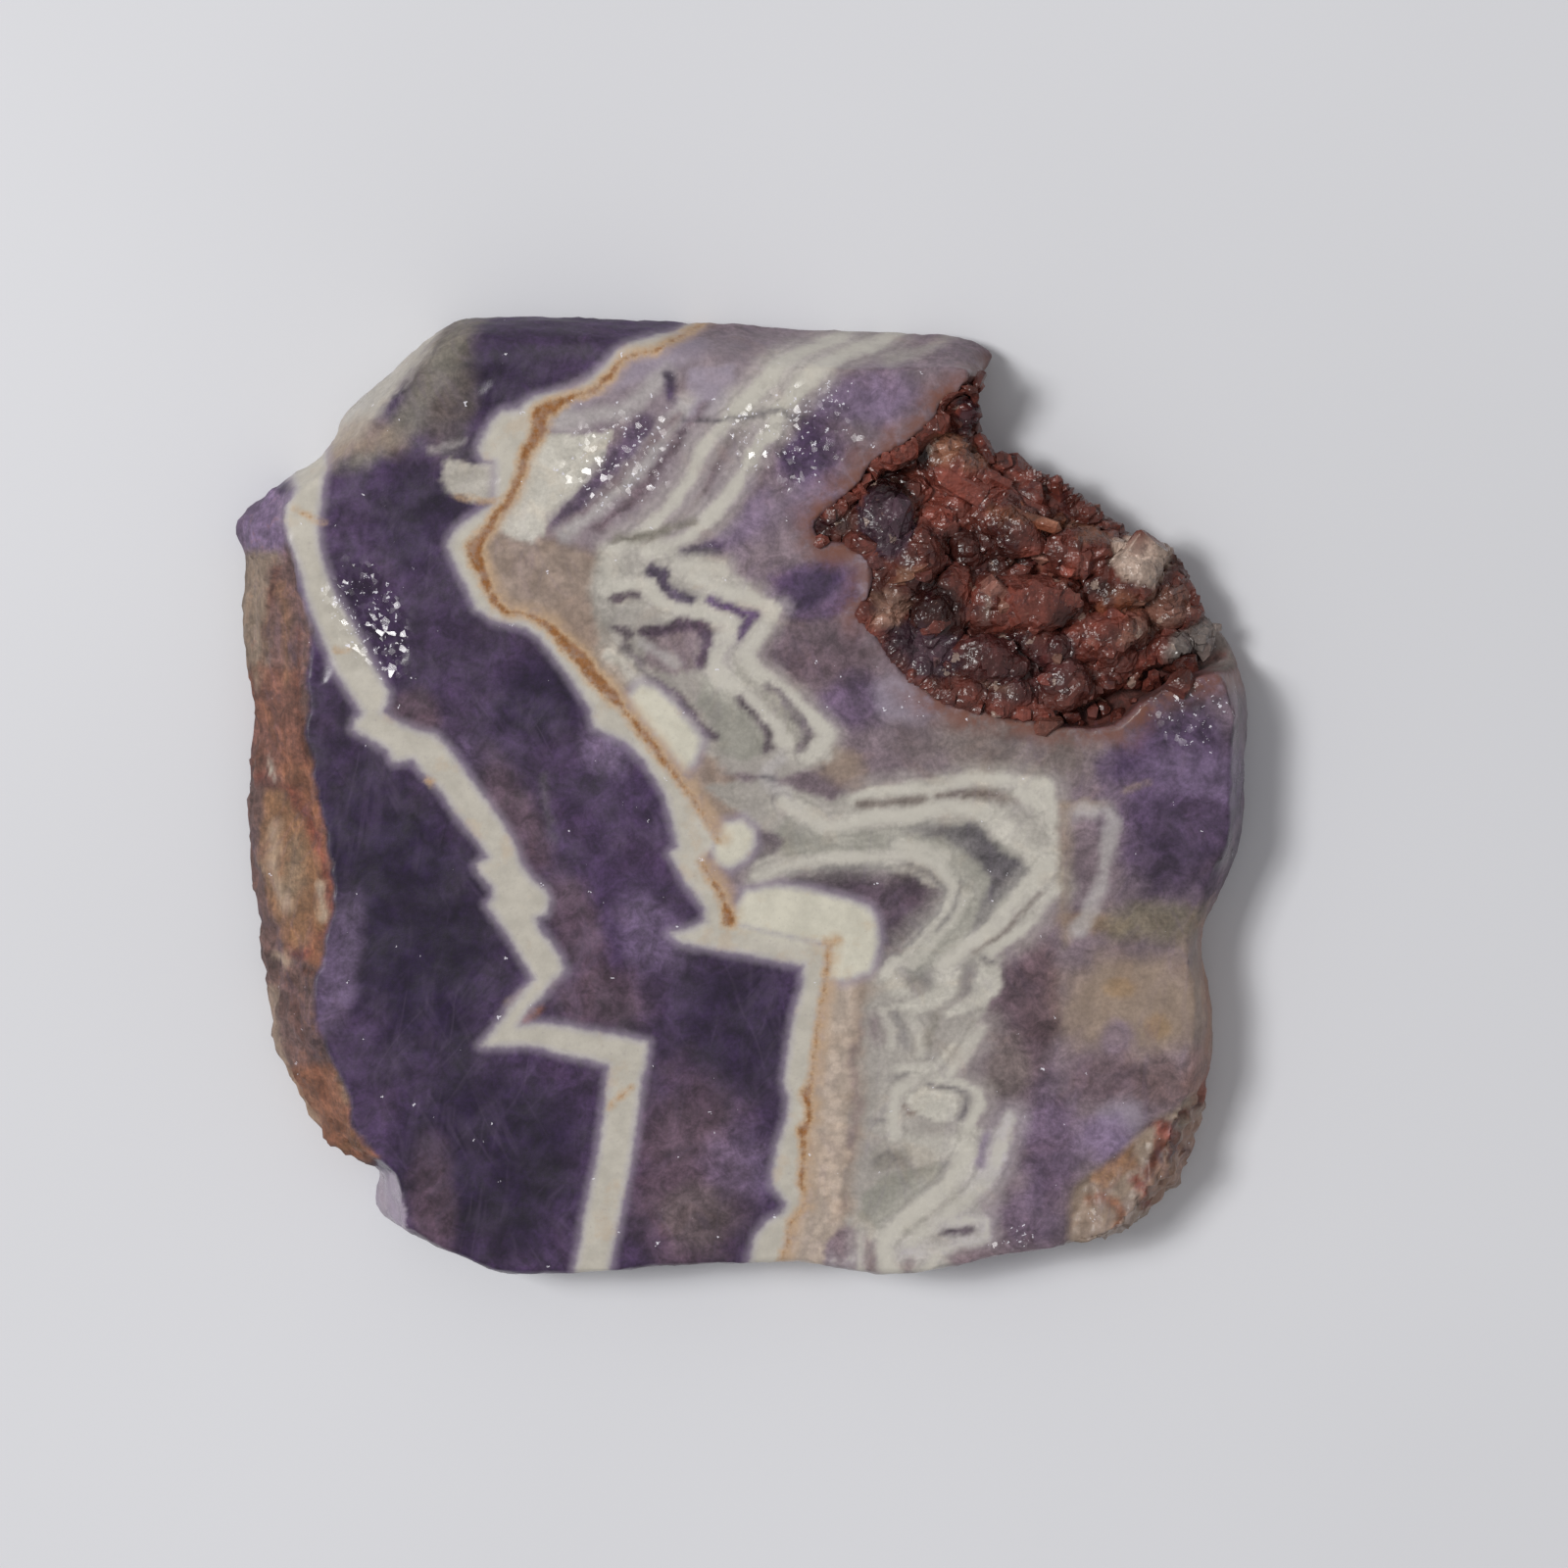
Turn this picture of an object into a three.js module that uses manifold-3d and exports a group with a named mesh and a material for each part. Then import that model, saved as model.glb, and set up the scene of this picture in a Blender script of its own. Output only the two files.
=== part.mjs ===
// A sawn slab of rough lace amethyst: a flat banded plate of quartz with a weathered skin along its left edge,
// ground shoulders elsewhere, and an open hollow in its upper right corner that is lined with iron-stained crystals.
// Millimetres, +Z up. The slab lies on its sawn back, with its good face up and the hollow towards +X +Y.
import * as THREE from "three";
import { mergeVertices } from "three/addons/utils/BufferGeometryUtils.js";
import Module from "manifold-3d";

const wasm = await Module();
wasm.setup();

// Driving dimensions.
const THICKNESS = 12;
const WIDEST_HEIGHT = 2.6; // height above the back where the slab is widest
const BACK_INSET = 1.1; // how far the sawn back stops inside the widest outline
const OUTLINE_STATIONS = 160;
const SIDE_RINGS = 7; // rings from the widest outline up to the face edge
const SHOULDER_POWER = 1.5; // above 1 the side starts steep and leans in near the face
const SKIN_RIDGE = 2.0; // relief of the weathered skin
const BROKEN_RIDGE = 0.35; // relief of the other sides
const SKIN_SHOULDER = 4.5; // a shoulder wider than this is weathered skin

// The hollow: a floor that dips outwards from the inner wall to the broken edge.
const HOLLOW_OUTWARD = new THREE.Vector2(0.64, 0.77).normalize();
const HOLLOW_START = 22; // distance from the slab's centre, along HOLLOW_OUTWARD, where the floor starts
const HOLLOW_START_DEPTH = 1.9;
const HOLLOW_DIP = 0.27; // drop of the floor per millimetre outwards
const CRUST_GAP = 0.35; // clearance between the crust and the slab
const CRUST_BASE = 1.3; // thickness of the layer that the crystals stand on
const CRUST_OVERHANG = 0.9; // how far the crust reaches past the broken edge
const CRYSTAL_SPACING = 3.5;
const CRYSTAL_RADIUS = [1.3, 2.8];
const CRYSTAL_SLENDER = [1.8, 2.8]; // length over radius
const CRYSTAL_LEAN = 0.75; // largest lean from the floor's normal, radians
const CRYSTAL_ROOT = 0.45; // share of a crystal's length below its middle
const CRYSTAL_TIP = 0.55; // and above it
const CRYSTAL_PROUD = 0.4; // how far a tip may stand above the sawn face
const CRYSTAL_SEED = 11;

// Stations round the slab, clockwise from the top left corner, seen from above: the widest outline [x, y], then the
// edge of the sawn face [x, y].
const TOP_EDGE = [
  [-29.1, 48.7, -27.8, 47.9],
  [-23.0, 49.0, -22.2, 47.7],
  [-13.9, 48.8, -13.7, 47.3],
  [-5.8, 48.5, -5.7, 46.2],
  [2.3, 48.1, 1.5, 44.7],
  [10.5, 47.6, 9.3, 43.9],
  [18.6, 47.2, 17.0, 44.1],
  [23.6, 46.8, 20.8, 44.7],
  [26.0, 45.6, 22.9, 44.5],
  [25.0, 43.1, 22.9, 43.1],
  [23.4, 41.7, 21.6, 41.6],
];
const BROKEN_EDGE = [
  [24.0, 38.8, 21.4, 38.6],
  [23.2, 36.7, 21.0, 35.6],
  [25.4, 34.5, 23.2, 32.4],
  [29.0, 32.7, 26.8, 30.4],
  [32.5, 31.1, 30.4, 28.8],
  [35.5, 28.4, 33.2, 26.6],
  [38.9, 26.0, 36.8, 24.0],
  [43.0, 25.0, 40.2, 22.8],
  [44.7, 22.1, 42.0, 21.0],
  [45.9, 19.9, 43.4, 19.2],
  [46.1, 18.0, 44.0, 16.9],
  [48.2, 17.4, 46.4, 15.8],
];
const RIGHT_EDGE = [
  [50.0, 15.8, 47.8, 14.9],
  [51.3, 12.7, 48.9, 12.6],
  [52.4, 8.6, 50.1, 9.2],
  [52.1, 4.5, 50.0, 5.4],
  [52.0, -0.3, 49.9, 0.8],
  [51.7, -5.4, 49.6, -3.9],
  [50.0, -9.6, 48.1, -7.8],
  [48.8, -12.3, 47.0, -10.8],
  [47.5, -15.2, 45.9, -13.9],
  [48.1, -18.6, 46.3, -17.3],
  [48.8, -21.6, 46.7, -20.5],
  [49.0, -25.7, 46.9, -24.3],
  [49.1, -29.4, 46.6, -27.8],
  [48.3, -33.0, 45.6, -31.2],
  [47.6, -36.3, 44.4, -34.2],
  [47.1, -39.7, 43.8, -37.2],
  [46.1, -41.9, 42.8, -39.2],
  [43.9, -43.1, 41.2, -40.8],
  [42.4, -45.6, 39.8, -43.1],
];
const BOTTOM_EDGE = [
  [38.9, -46.9, 37.8, -45.4],
  [34.5, -47.4, 34.1, -46.2],
  [29.2, -48.0, 28.9, -46.9],
  [25.0, -48.8, 24.7, -47.7],
  [20.5, -49.8, 20.3, -48.7],
  [15.4, -50.4, 15.3, -49.3],
  [10.9, -49.9, 10.8, -48.7],
  [6.4, -49.1, 6.4, -47.9],
  [0.3, -49.2, 0.3, -48.0],
  [-5.8, -49.4, -5.7, -48.2],
  [-12.9, -50.0, -12.7, -48.8],
  [-19.9, -50.4, -19.7, -49.2],
  [-25.5, -50.2, -25.1, -49.0],
  [-29.2, -48.7, -28.5, -47.5],
  [-33.2, -47.1, -32.3, -45.8],
  [-36.8, -45.6, -35.0, -43.7],
  [-38.3, -44.0, -35.0, -41.8],
  [-38.2, -42.0, -34.9, -40.2],
  [-37.8, -40.2, -35.3, -38.6],
  [-39.5, -39.1, -37.2, -36.9],
];
const SKIN_EDGE = [
  [-42.1, -38.3, -39.0, -35.6],
  [-44.4, -36.6, -40.0, -33.8],
  [-45.4, -34.0, -40.4, -31.6],
  [-47.4, -31.3, -41.0, -29.2],
  [-48.8, -27.7, -42.5, -26.3],
  [-49.7, -23.6, -44.0, -22.6],
  [-50.0, -19.6, -43.8, -18.3],
  [-50.8, -15.0, -42.4, -13.4],
  [-51.4, -9.9, -41.8, -8.7],
  [-51.1, -4.3, -42.5, -3.4],
  [-51.2, 0.7, -43.5, 1.6],
  [-50.8, 6.3, -44.6, 7.4],
  [-51.0, 11.9, -44.1, 12.9],
  [-51.5, 17.5, -43.8, 17.9],
  [-51.3, 22.6, -45.3, 23.2],
  [-51.8, 25.1, -45.9, 26.3],
  [-52.4, 27.1, -46.2, 28.8],
  [-51.3, 28.9, -46.3, 30.4],
  [-48.9, 30.7, -46.0, 31.4],
];
const TOP_LEFT_EDGE = [
  [-46.2, 32.9, -44.8, 32.2],
  [-43.8, 34.3, -42.4, 33.6],
  [-42.1, 35.9, -40.6, 35.2],
  [-41.5, 38.1, -38.8, 37.2],
  [-39.3, 40.8, -36.2, 39.5],
  [-36.7, 42.9, -33.8, 41.8],
  [-33.7, 45.6, -32.0, 45.0],
  [-31.2, 47.6, -29.9, 46.9],
];
const RIM = [...TOP_EDGE, ...BROKEN_EDGE, ...RIGHT_EDGE, ...BOTTOM_EDGE, ...SKIN_EDGE, ...TOP_LEFT_EDGE];

// Where the hollow breaks the sawn face, from its upper end round to its right end.
const HOLLOW_EDGE = [
  [23.5, 42.6],
  [20.5, 41.0],
  [19.3, 39.0],
  [16.8, 36.7],
  [13.4, 34.9],
  [12.0, 32.6],
  [9.3, 30.3],
  [7.2, 28.4],
  [8.0, 26.8],
  [10.8, 26.6],
  [13.0, 25.2],
  [13.6, 23.2],
  [12.9, 20.9],
  [11.8, 19.1],
  [13.6, 17.6],
  [14.8, 15.6],
  [16.8, 13.2],
  [19.6, 11.0],
  [24.0, 9.4],
  [30.3, 8.2],
  [35.3, 7.4],
  [38.2, 8.0],
  [40.6, 10.2],
  [43.4, 11.8],
  [47.0, 13.1],
];
// The same outline closed on the far side of the broken edge.
const HOLLOW_FAR_SIDE = [
  [58, 15],
  [58, 36],
  [34, 50],
];
// The stations of RIM between which the crust reaches out to the broken edge.
const CRUST_RIM_FIRST = 10;
const CRUST_RIM_LAST = 22;
// The big crystals: [x, y, height above the crust's base, radius, length, heading in degrees, lean in degrees].
const LARGE_CRYSTALS = [
  [14.9, 28.2, 0.2, 3.0, 9.0, 100, 78],
  [17.6, 24.4, 0.4, 2.8, 7.0, 70, 62],
  [20.2, 19.4, 0.4, 2.6, 6.0, 200, 50],
  [29.0, 20.2, 1.4, 2.7, 10.5, 4, 82],
  [22.4, 33.4, 1.0, 2.2, 7.0, 150, 70],
  [27.4, 28.0, 1.4, 2.5, 7.5, 320, 64],
  [34.6, 25.2, 1.6, 2.4, 8.0, 170, 60],
  [39.4, 22.6, 1.8, 2.7, 7.5, 30, 70],
  [22.6, 39.0, 1.4, 1.7, 4.6, 60, 35],
  [36.8, 16.6, 0.6, 2.3, 7.0, 15, 75],
  [25.4, 14.4, 0.2, 2.2, 7.0, 350, 76],
];

// Shallow pits of broken crystal in the sawn face: [x, y, length, width, depth, turn in degrees].
const FACE_PITS = [
  [-38.6, 20.6, 5.0, 2.6, 0.5, -55],
  [-36.0, 16.8, 6.0, 3.2, 0.6, -50],
  [-27.6, 33.0, 7.0, 1.6, 0.5, 4],
  [-26.6, 42.6, 3.0, 1.8, 0.4, 30],
  [-15.2, 36.4, 7.5, 2.4, 0.5, 48],
  [-8.4, 38.4, 9.0, 1.3, 0.4, 6],
  [5.4, 39.2, 6.5, 3.0, 0.5, 40],
  [9.0, 36.4, 6.0, 3.4, 0.6, 60],
  [44.6, 9.0, 6.0, 3.0, 0.6, 30],
  [14.6, 10.2, 3.6, 2.4, 0.5, 20],
  [-42.6, 14.0, 4.0, 1.8, 0.6, 80],
  [28.4, -45.6, 5.2, 1.6, 0.7, 22],
];
// Shell-shaped chips broken out of the rim: [x, y, z, radius].
const RIM_CHIPS = [
  [-40.2, -44.0, 10.5, 5.2],
  [-46.0, -38.6, 1.5, 4.2],
  [53.6, -11.8, 8.0, 4.4],
  [50.6, -45.6, 6.5, 5.6],
  [54.4, 15.6, 9.5, 5.0],
  [26.4, -53.0, 9.5, 4.8],
  [-44.8, 37.6, 9.0, 3.6],
  [1.5, 52.6, 1.0, 4.6],
];

// Repeatable random numbers from 0 to 1.
function seededRandom(seed) {
  let state = seed >>> 0;
  return () => {
    state = (state + 0x6d2b79f5) >>> 0;
    let t = state;
    t = Math.imul(t ^ (t >>> 15), t | 1);
    t ^= t + Math.imul(t ^ (t >>> 7), t | 61);
    return ((t ^ (t >>> 14)) >>> 0) / 4294967296;
  };
}

// Smooth noise from -1 to 1, with one lump per unit of length.
function noise(x, y, z) {
  const cell = [Math.floor(x), Math.floor(y), Math.floor(z)];
  const part = [x - cell[0], y - cell[1], z - cell[2]].map((t) => t * t * (3 - 2 * t));
  const corner = (i, j, k) => {
    const s = Math.sin((cell[0] + i) * 127.1 + (cell[1] + j) * 311.7 + (cell[2] + k) * 74.7) * 43758.5453;
    return s - Math.floor(s);
  };
  const { lerp } = THREE.MathUtils;
  const edge = (j, k) => lerp(corner(0, j, k), corner(1, j, k), part[0]);
  const side = (k) => lerp(edge(0, k), edge(1, k), part[1]);
  return 2 * lerp(side(0), side(1), part[2]) - 1;
}

function toSolid(geometry) {
  const bare = geometry.clone();
  bare.deleteAttribute("normal");
  bare.deleteAttribute("uv");
  const merged = mergeVertices(bare, 1e-4);
  return new wasm.Manifold(
    new wasm.Mesh({
      numProp: 3,
      vertProperties: new Float32Array(merged.attributes.position.array),
      triVerts: new Uint32Array(merged.index.array),
    }),
  );
}

function toGeometry(solid) {
  const mesh = solid.getMesh();
  return new THREE.BufferGeometry()
    .setAttribute("position", new THREE.BufferAttribute(new Float32Array(mesh.vertProperties), 3))
    .setIndex(new THREE.BufferAttribute(new Uint32Array(mesh.triVerts), 1));
}

// A closed body from rings of points that all have the same count, capped flat at the first and last ring.
function loftRings(rings) {
  const count = rings[0].length;
  const positions = rings.flat().flatMap((p) => [p.x, p.y, p.z]);
  const faces = [];
  for (let k = 0; k + 1 < rings.length; k++) {
    for (let i = 0; i < count; i++) {
      const a = k * count + i;
      const b = k * count + ((i + 1) % count);
      faces.push([a, b, b + count], [a, b + count, a + count]);
    }
  }
  const cap = (ring, offset, upwards) => {
    const flat = ring.map((p) => new THREE.Vector2(p.x, p.y));
    for (const [a, b, c] of THREE.ShapeUtils.triangulateShape(flat, [])) {
      faces.push(upwards ? [a + offset, b + offset, c + offset] : [c + offset, b + offset, a + offset]);
    }
  };
  cap(rings[0], 0, false);
  cap(rings.at(-1), (rings.length - 1) * count, true);
  return new THREE.BufferGeometry()
    .setAttribute("position", new THREE.Float32BufferAttribute(positions, 3))
    .setIndex(faces.flat());
}

// Evenly spaced stations round a closed outline, with the widest outline and the face edge kept in step.
function rimStations() {
  const counterClockwise = [...RIM].reverse();
  const curve = (column) =>
    new THREE.CatmullRomCurve3(
      counterClockwise.map((s) => new THREE.Vector3(s[column], s[column + 1], 0)),
      true,
      "centripetal",
    );
  const widest = curve(0);
  const face = curve(2);
  return Array.from({ length: OUTLINE_STATIONS }, (_, i) => {
    const t = widest.getUtoTmapping(i / OUTLINE_STATIONS);
    return { widest: widest.getPoint(t), face: face.getPoint(t) };
  });
}

function slabBody() {
  const stations = rimStations();
  const sideRing = (share) =>
    stations.map(({ widest, face }) => {
      const inset = share ** SHOULDER_POWER;
      const z = THREE.MathUtils.lerp(WIDEST_HEIGHT, THICKNESS, share);
      const point = new THREE.Vector3().lerpVectors(widest, face, inset).setZ(z);
      const shoulder = widest.distanceTo(face);
      const skin = THREE.MathUtils.smoothstep(shoulder, 0.6 * SKIN_SHOULDER, SKIN_SHOULDER);
      const ledges = noise(0.05 * point.x, 0.07 * point.y, 0.5 * z + 0.06 * point.y);
      const lumps = noise(0.3 * point.x, 0.3 * point.y, 0.3 * z);
      const relief = THREE.MathUtils.lerp(BROKEN_RIDGE, SKIN_RIDGE, skin) * (0.6 * ledges + 0.4 * lumps);
      const fade = Math.sin(Math.PI * Math.min(share + 0.12, 1)) ** 0.5 || 0;
      const outwards = new THREE.Vector3().subVectors(widest, face).setZ(0).normalize();
      return point.addScaledVector(outwards, relief * fade);
    });
  const rings = Array.from({ length: SIDE_RINGS }, (_, k) => sideRing(k / (SIDE_RINGS - 1)));
  const backEdge = stations.map(({ widest, face }) => {
    const inwards = new THREE.Vector3().subVectors(face, widest).normalize();
    return widest.clone().addScaledVector(inwards, BACK_INSET).setZ(0);
  });
  return toSolid(loftRings([backEdge, ...rings]));
}

const floorHeight = (x, y) => {
  const outwards = x * HOLLOW_OUTWARD.x + y * HOLLOW_OUTWARD.y;
  return THICKNESS - HOLLOW_START_DEPTH - HOLLOW_DIP * (outwards - HOLLOW_START);
};

// An upright prism over an outline, whose bottom follows the hollow's floor at a given height above it.
function prismOverFloor(outline, aboveFloor, thickness) {
  const shape = new THREE.Shape(outline.map(([x, y]) => new THREE.Vector2(x, y)));
  const geometry = new THREE.ExtrudeGeometry(shape, { depth: 1, bevelEnabled: false });
  const p = geometry.attributes.position;
  for (let i = 0; i < p.count; i++) {
    const floor = floorHeight(p.getX(i), p.getY(i)) + aboveFloor;
    p.setZ(i, floor + p.getZ(i) * thickness);
  }
  return toSolid(geometry);
}

// The outline moved square to itself by a distance, inwards if it is above 0 on a clockwise outline.
function offsetOutline(outline, distance) {
  return outline.map(([x, y], i) => {
    const [ax, ay] = outline.at(i - 1);
    const [bx, by] = outline[(i + 1) % outline.length];
    const along = new THREE.Vector2(bx - ax, by - ay).normalize();
    return [x + along.y * distance, y - along.x * distance];
  });
}

// The room that the crust may fill: inside the hollow's walls, and a little past the broken edge.
function crustRoom() {
  const hollowMiddle = [30, 22];
  const brokenEdge = RIM.slice(CRUST_RIM_FIRST, CRUST_RIM_LAST + 1).map(([x, y]) => {
    const outwards = new THREE.Vector2(x - hollowMiddle[0], y - hollowMiddle[1]).normalize();
    return [x + outwards.x * CRUST_OVERHANG, y + outwards.y * CRUST_OVERHANG];
  });
  const walls = offsetOutline([...HOLLOW_EDGE, ...HOLLOW_FAR_SIDE], -CRUST_GAP);
  const outer = [...HOLLOW_EDGE.slice(4, 20), ...brokenEdge.reverse()];
  const room = prismOverFloor(walls, CRUST_GAP, THICKNESS);
  return room.intersect(prismOverFloor(outer, 0, THICKNESS));
}

// A six-sided prism with a pyramid on top, about its middle, along Z.
function quartzCrystal(radius, length) {
  const profile = [
    [0, -CRYSTAL_ROOT * length],
    [radius, -CRYSTAL_ROOT * length],
    [0.92 * radius, 0.4 * CRYSTAL_TIP * length],
    [0, CRYSTAL_TIP * length],
  ].map(([r, y]) => new THREE.Vector2(r, y));
  return new THREE.LatheGeometry(profile, 6).rotateX(Math.PI / 2);
}

function largeCrystal([x, y, above, radius, length, heading, lean]) {
  const { degToRad } = THREE.MathUtils;
  return toSolid(
    quartzCrystal(radius, length)
      .rotateY(degToRad(lean))
      .rotateZ(degToRad(heading))
      .translate(x, y, floorHeight(x, y) + CRUST_GAP + CRUST_BASE + above),
  );
}

// Small crystals stand about square to the hollow's floor, each with its own lean, turn and size.
function smallCrystals() {
  const random = seededRandom(CRYSTAL_SEED);
  const between = ([low, high]) => THREE.MathUtils.lerp(low, high, random());
  const upright = new THREE.Vector3(0, 0, 1);
  const floorNormal = new THREE.Vector3(HOLLOW_DIP * HOLLOW_OUTWARD.x, HOLLOW_DIP * HOLLOW_OUTWARD.y, 1);
  const crystals = [];
  for (let x = 8; x < 50; x += CRYSTAL_SPACING) {
    for (let y = 8; y < 42; y += CRYSTAL_SPACING) {
      const px = x + (random() - 0.5) * 0.8 * CRYSTAL_SPACING;
      const py = y + (random() - 0.5) * 0.8 * CRYSTAL_SPACING;
      const height = floorHeight(px, py) + CRUST_GAP + 0.8 * CRUST_BASE;
      const slender = between(CRYSTAL_SLENDER);
      const tallest = (THICKNESS + CRYSTAL_PROUD - height) / CRYSTAL_TIP;
      const radius = Math.min(between(CRYSTAL_RADIUS), tallest / slender);
      const heading = random() * 2 * Math.PI;
      const lean = Math.tan(random() * CRYSTAL_LEAN);
      const sideways = new THREE.Vector3(Math.cos(heading), Math.sin(heading), 0);
      const axis = floorNormal.clone().addScaledVector(sideways, lean).normalize();
      const placed = quartzCrystal(radius, radius * slender)
        .rotateZ(random() * Math.PI)
        .applyQuaternion(new THREE.Quaternion().setFromUnitVectors(upright, axis))
        .translate(px, py, height);
      crystals.push(toSolid(placed));
    }
  }
  return crystals;
}

function crystalCrust() {
  const room = crustRoom();
  const base = prismOverFloor(offsetOutline([...HOLLOW_EDGE, ...HOLLOW_FAR_SIDE], 0), CRUST_GAP, CRUST_BASE);
  const crystals = [...LARGE_CRYSTALS.map(largeCrystal), ...smallCrystals()];
  const grown = wasm.Manifold.union([base, ...crystals]).intersect(room);
  return grown.decompose().sort((a, b) => b.volume() - a.volume())[0];
}

function facePit([x, y, length, width, depth, turn]) {
  const pit = new THREE.IcosahedronGeometry(1, 1)
    .scale(length / 2, width / 2, depth)
    .rotateZ(THREE.MathUtils.degToRad(turn))
    .translate(x, y, THICKNESS);
  return toSolid(pit);
}

function rimChip([x, y, z, radius]) {
  return toSolid(new THREE.IcosahedronGeometry(radius, 2).translate(x, y, z));
}

function bandedSlab() {
  const hollow = prismOverFloor([...HOLLOW_EDGE, ...HOLLOW_FAR_SIDE], 0, 2 * THICKNESS);
  const cutters = [hollow, ...FACE_PITS.map(facePit), ...RIM_CHIPS.map(rimChip)];
  return cutters.reduce((body, cutter) => body.subtract(cutter), slabBody());
}

function meshOf(name, solid, look) {
  const mesh = new THREE.Mesh(toGeometry(solid), new THREE.MeshStandardMaterial(look));
  mesh.name = name;
  return mesh;
}

const slab = new THREE.Group();
slab.add(
  meshOf("banded_slab", bandedSlab(), { color: 0x62507a, roughness: 0.35, metalness: 0 }),
  meshOf("crystal_crust", crystalCrust(), { color: 0x7e4536, roughness: 0.5, metalness: 0 }),
);

// The frame's origin is under the middle of the slab, on the surface that it lies on.
const box = new THREE.Box3().setFromObject(slab);
const middle = box.getCenter(new THREE.Vector3());
slab.position.set(-middle.x, -middle.y, -box.min.z);

export default slab;
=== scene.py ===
"""A sawn slab of rough lace amethyst, with a crust of iron-stained crystals in its open corner.

Markings are traced in millimetres on the sawn face, and run on down the sides and over the back.
"""
import math
import random

import bmesh
import bpy
import numpy as np
from bpy.props import FloatProperty, FloatVectorProperty, PointerProperty
from mathutils import Euler, Matrix, Vector, noise
from mathutils.bvhtree import BVHTree


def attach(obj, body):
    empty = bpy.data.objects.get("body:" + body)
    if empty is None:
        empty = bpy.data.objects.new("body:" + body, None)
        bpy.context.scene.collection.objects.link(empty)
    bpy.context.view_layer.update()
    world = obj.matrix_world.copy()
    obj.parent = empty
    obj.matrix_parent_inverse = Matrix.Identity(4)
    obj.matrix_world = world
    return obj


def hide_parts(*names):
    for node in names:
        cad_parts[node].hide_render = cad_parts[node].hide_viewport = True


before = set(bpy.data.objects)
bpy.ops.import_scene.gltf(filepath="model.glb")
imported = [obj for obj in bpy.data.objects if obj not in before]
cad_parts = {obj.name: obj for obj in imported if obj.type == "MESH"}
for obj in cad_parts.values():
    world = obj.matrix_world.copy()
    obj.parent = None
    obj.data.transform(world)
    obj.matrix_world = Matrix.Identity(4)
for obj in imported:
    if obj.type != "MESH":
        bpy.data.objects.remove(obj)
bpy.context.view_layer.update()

bl_info = {
    "name": "Lace Amethyst Slab",
    "version": (1, 0, 0),
    "blender": (4, 5, 0),
    "location": "3D View > Sidebar > Amethyst",
    "description": "Dresses a sawn slab of lace amethyst and the crystal crust in its corner",
    "category": "Object",
}

MM = 0.001
THICKNESS = 12.0
FACE_MIDDLE = (0.124, -0.754)  # the traced face's millimetres are the frame's plus this
BAND_DIP = 0.14  # how far the bands lean, in millimetres for each millimetre down
WELD = 1e-6
FINE_DEPTH = 1.0  # the mesh is finer down to this depth below the sawn face
WORN_STEPS = 24  # how often the worn edges are smoothed
WORN_WIDTH = 6.0  # width of the strip that is smoothed
WORN_FOOT = 4.0  # height above the back where the strip starts
DULL_WIDTH = 3.0  # the strip along the worn edges that has lost its gloss
RIM_DROP = 0.8  # how far the crystals' level is below the sawn face at the hollow's rim
RIM_SLOPE = 1.5  # how steeply the crystals fall away from the hollow's rim
RIM_WIDTH = 1.6  # the strip along the rim, in millimetres, where fewer small crystals stand
RIM_BARE = 0.3  # the share of the small crystals left out there
PIT_LIFT = 0.6  # share of a face pit's depth that is filled
FAR = 99.0
GRAINY_FIELDS = (1, 2)  # fields made of small rounded grains
HAZY = ("lace_white", "pale_lace")  # bands of these colours have a faint haze and fine echoes
REACH = 3.0  # markings are measured up to this far from their edge
IOR = 1.544  # quartz
SITE_START = (7.0, 7.5)  # the corner of the area on the traced face where small crystals may stand
SITE_SPAN = (42.0, 37.0)  # and the area's size
SMALL_RISE = 0.3  # a small crystal's level is at least this far above the ground
SMALL_ROOT = 0.2  # how far its middle is below that level
SMALL_SIZES = (0.5, 0.8, 1.2, 1.7)  # a small crystal's radius is multiplied by one of these
POINTED = 0.12  # the share of the small crystals that are whole points and not broken lumps
OTHER_TINTS = ("crust_dark", "crust_red", "crust_pink")  # each small crystal's colour leans to one of these
OTHER_SHARES = (0.0, 0.0, 0.0, 0.15, 0.45)  # by one of these shares
LARGE_SHARE = 0.85  # the part of a large crystal's length below its tip
LUMP_CUTS = 14  # how many flat faces a large lump is cut with
LUMP_GROWTH = (1.2, 1.2, 1.3)  # lumps are made this much larger, because the cuts take some off
AIM = (4.3, 1.9)  # where the camera looks, on the traced face
SENSOR_WIDTH = 36.0
KEY_PLACE = (-0.7, 0.3, 1.2)  # in metres, like the sizes of the lamps and of the floor
KEY_SIZE = 0.38
GLINT_SIZE = 0.09
GLINT_FARTHER = 1.05  # the small lamp stands behind the key light
KEY_TONE = (1.0, 0.99, 0.97)
SKY_COLOUR = (1.0, 0.985, 0.985, 1.0)
# The colour of the painted glints, white flecks of painted highlight.
PAINTED_GLINT_COLOUR = (0.8, 0.78, 0.86)
FLOOR_REACH = 3.0
PAST_RIGHT = [(70.0, -60.0), (70.0, 60.0)]  # closes an outline beyond the slab's right edge
PITTED = (44.0, 44.5)  # the sawn face has its pits closer to the middle than this
LOOK_FROM = 30.0  # the ground under a crystal is looked for from this height
EVERY_AXIS = {"use_axis_x": True, "use_axis_y": True, "use_axis_z": True}

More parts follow.
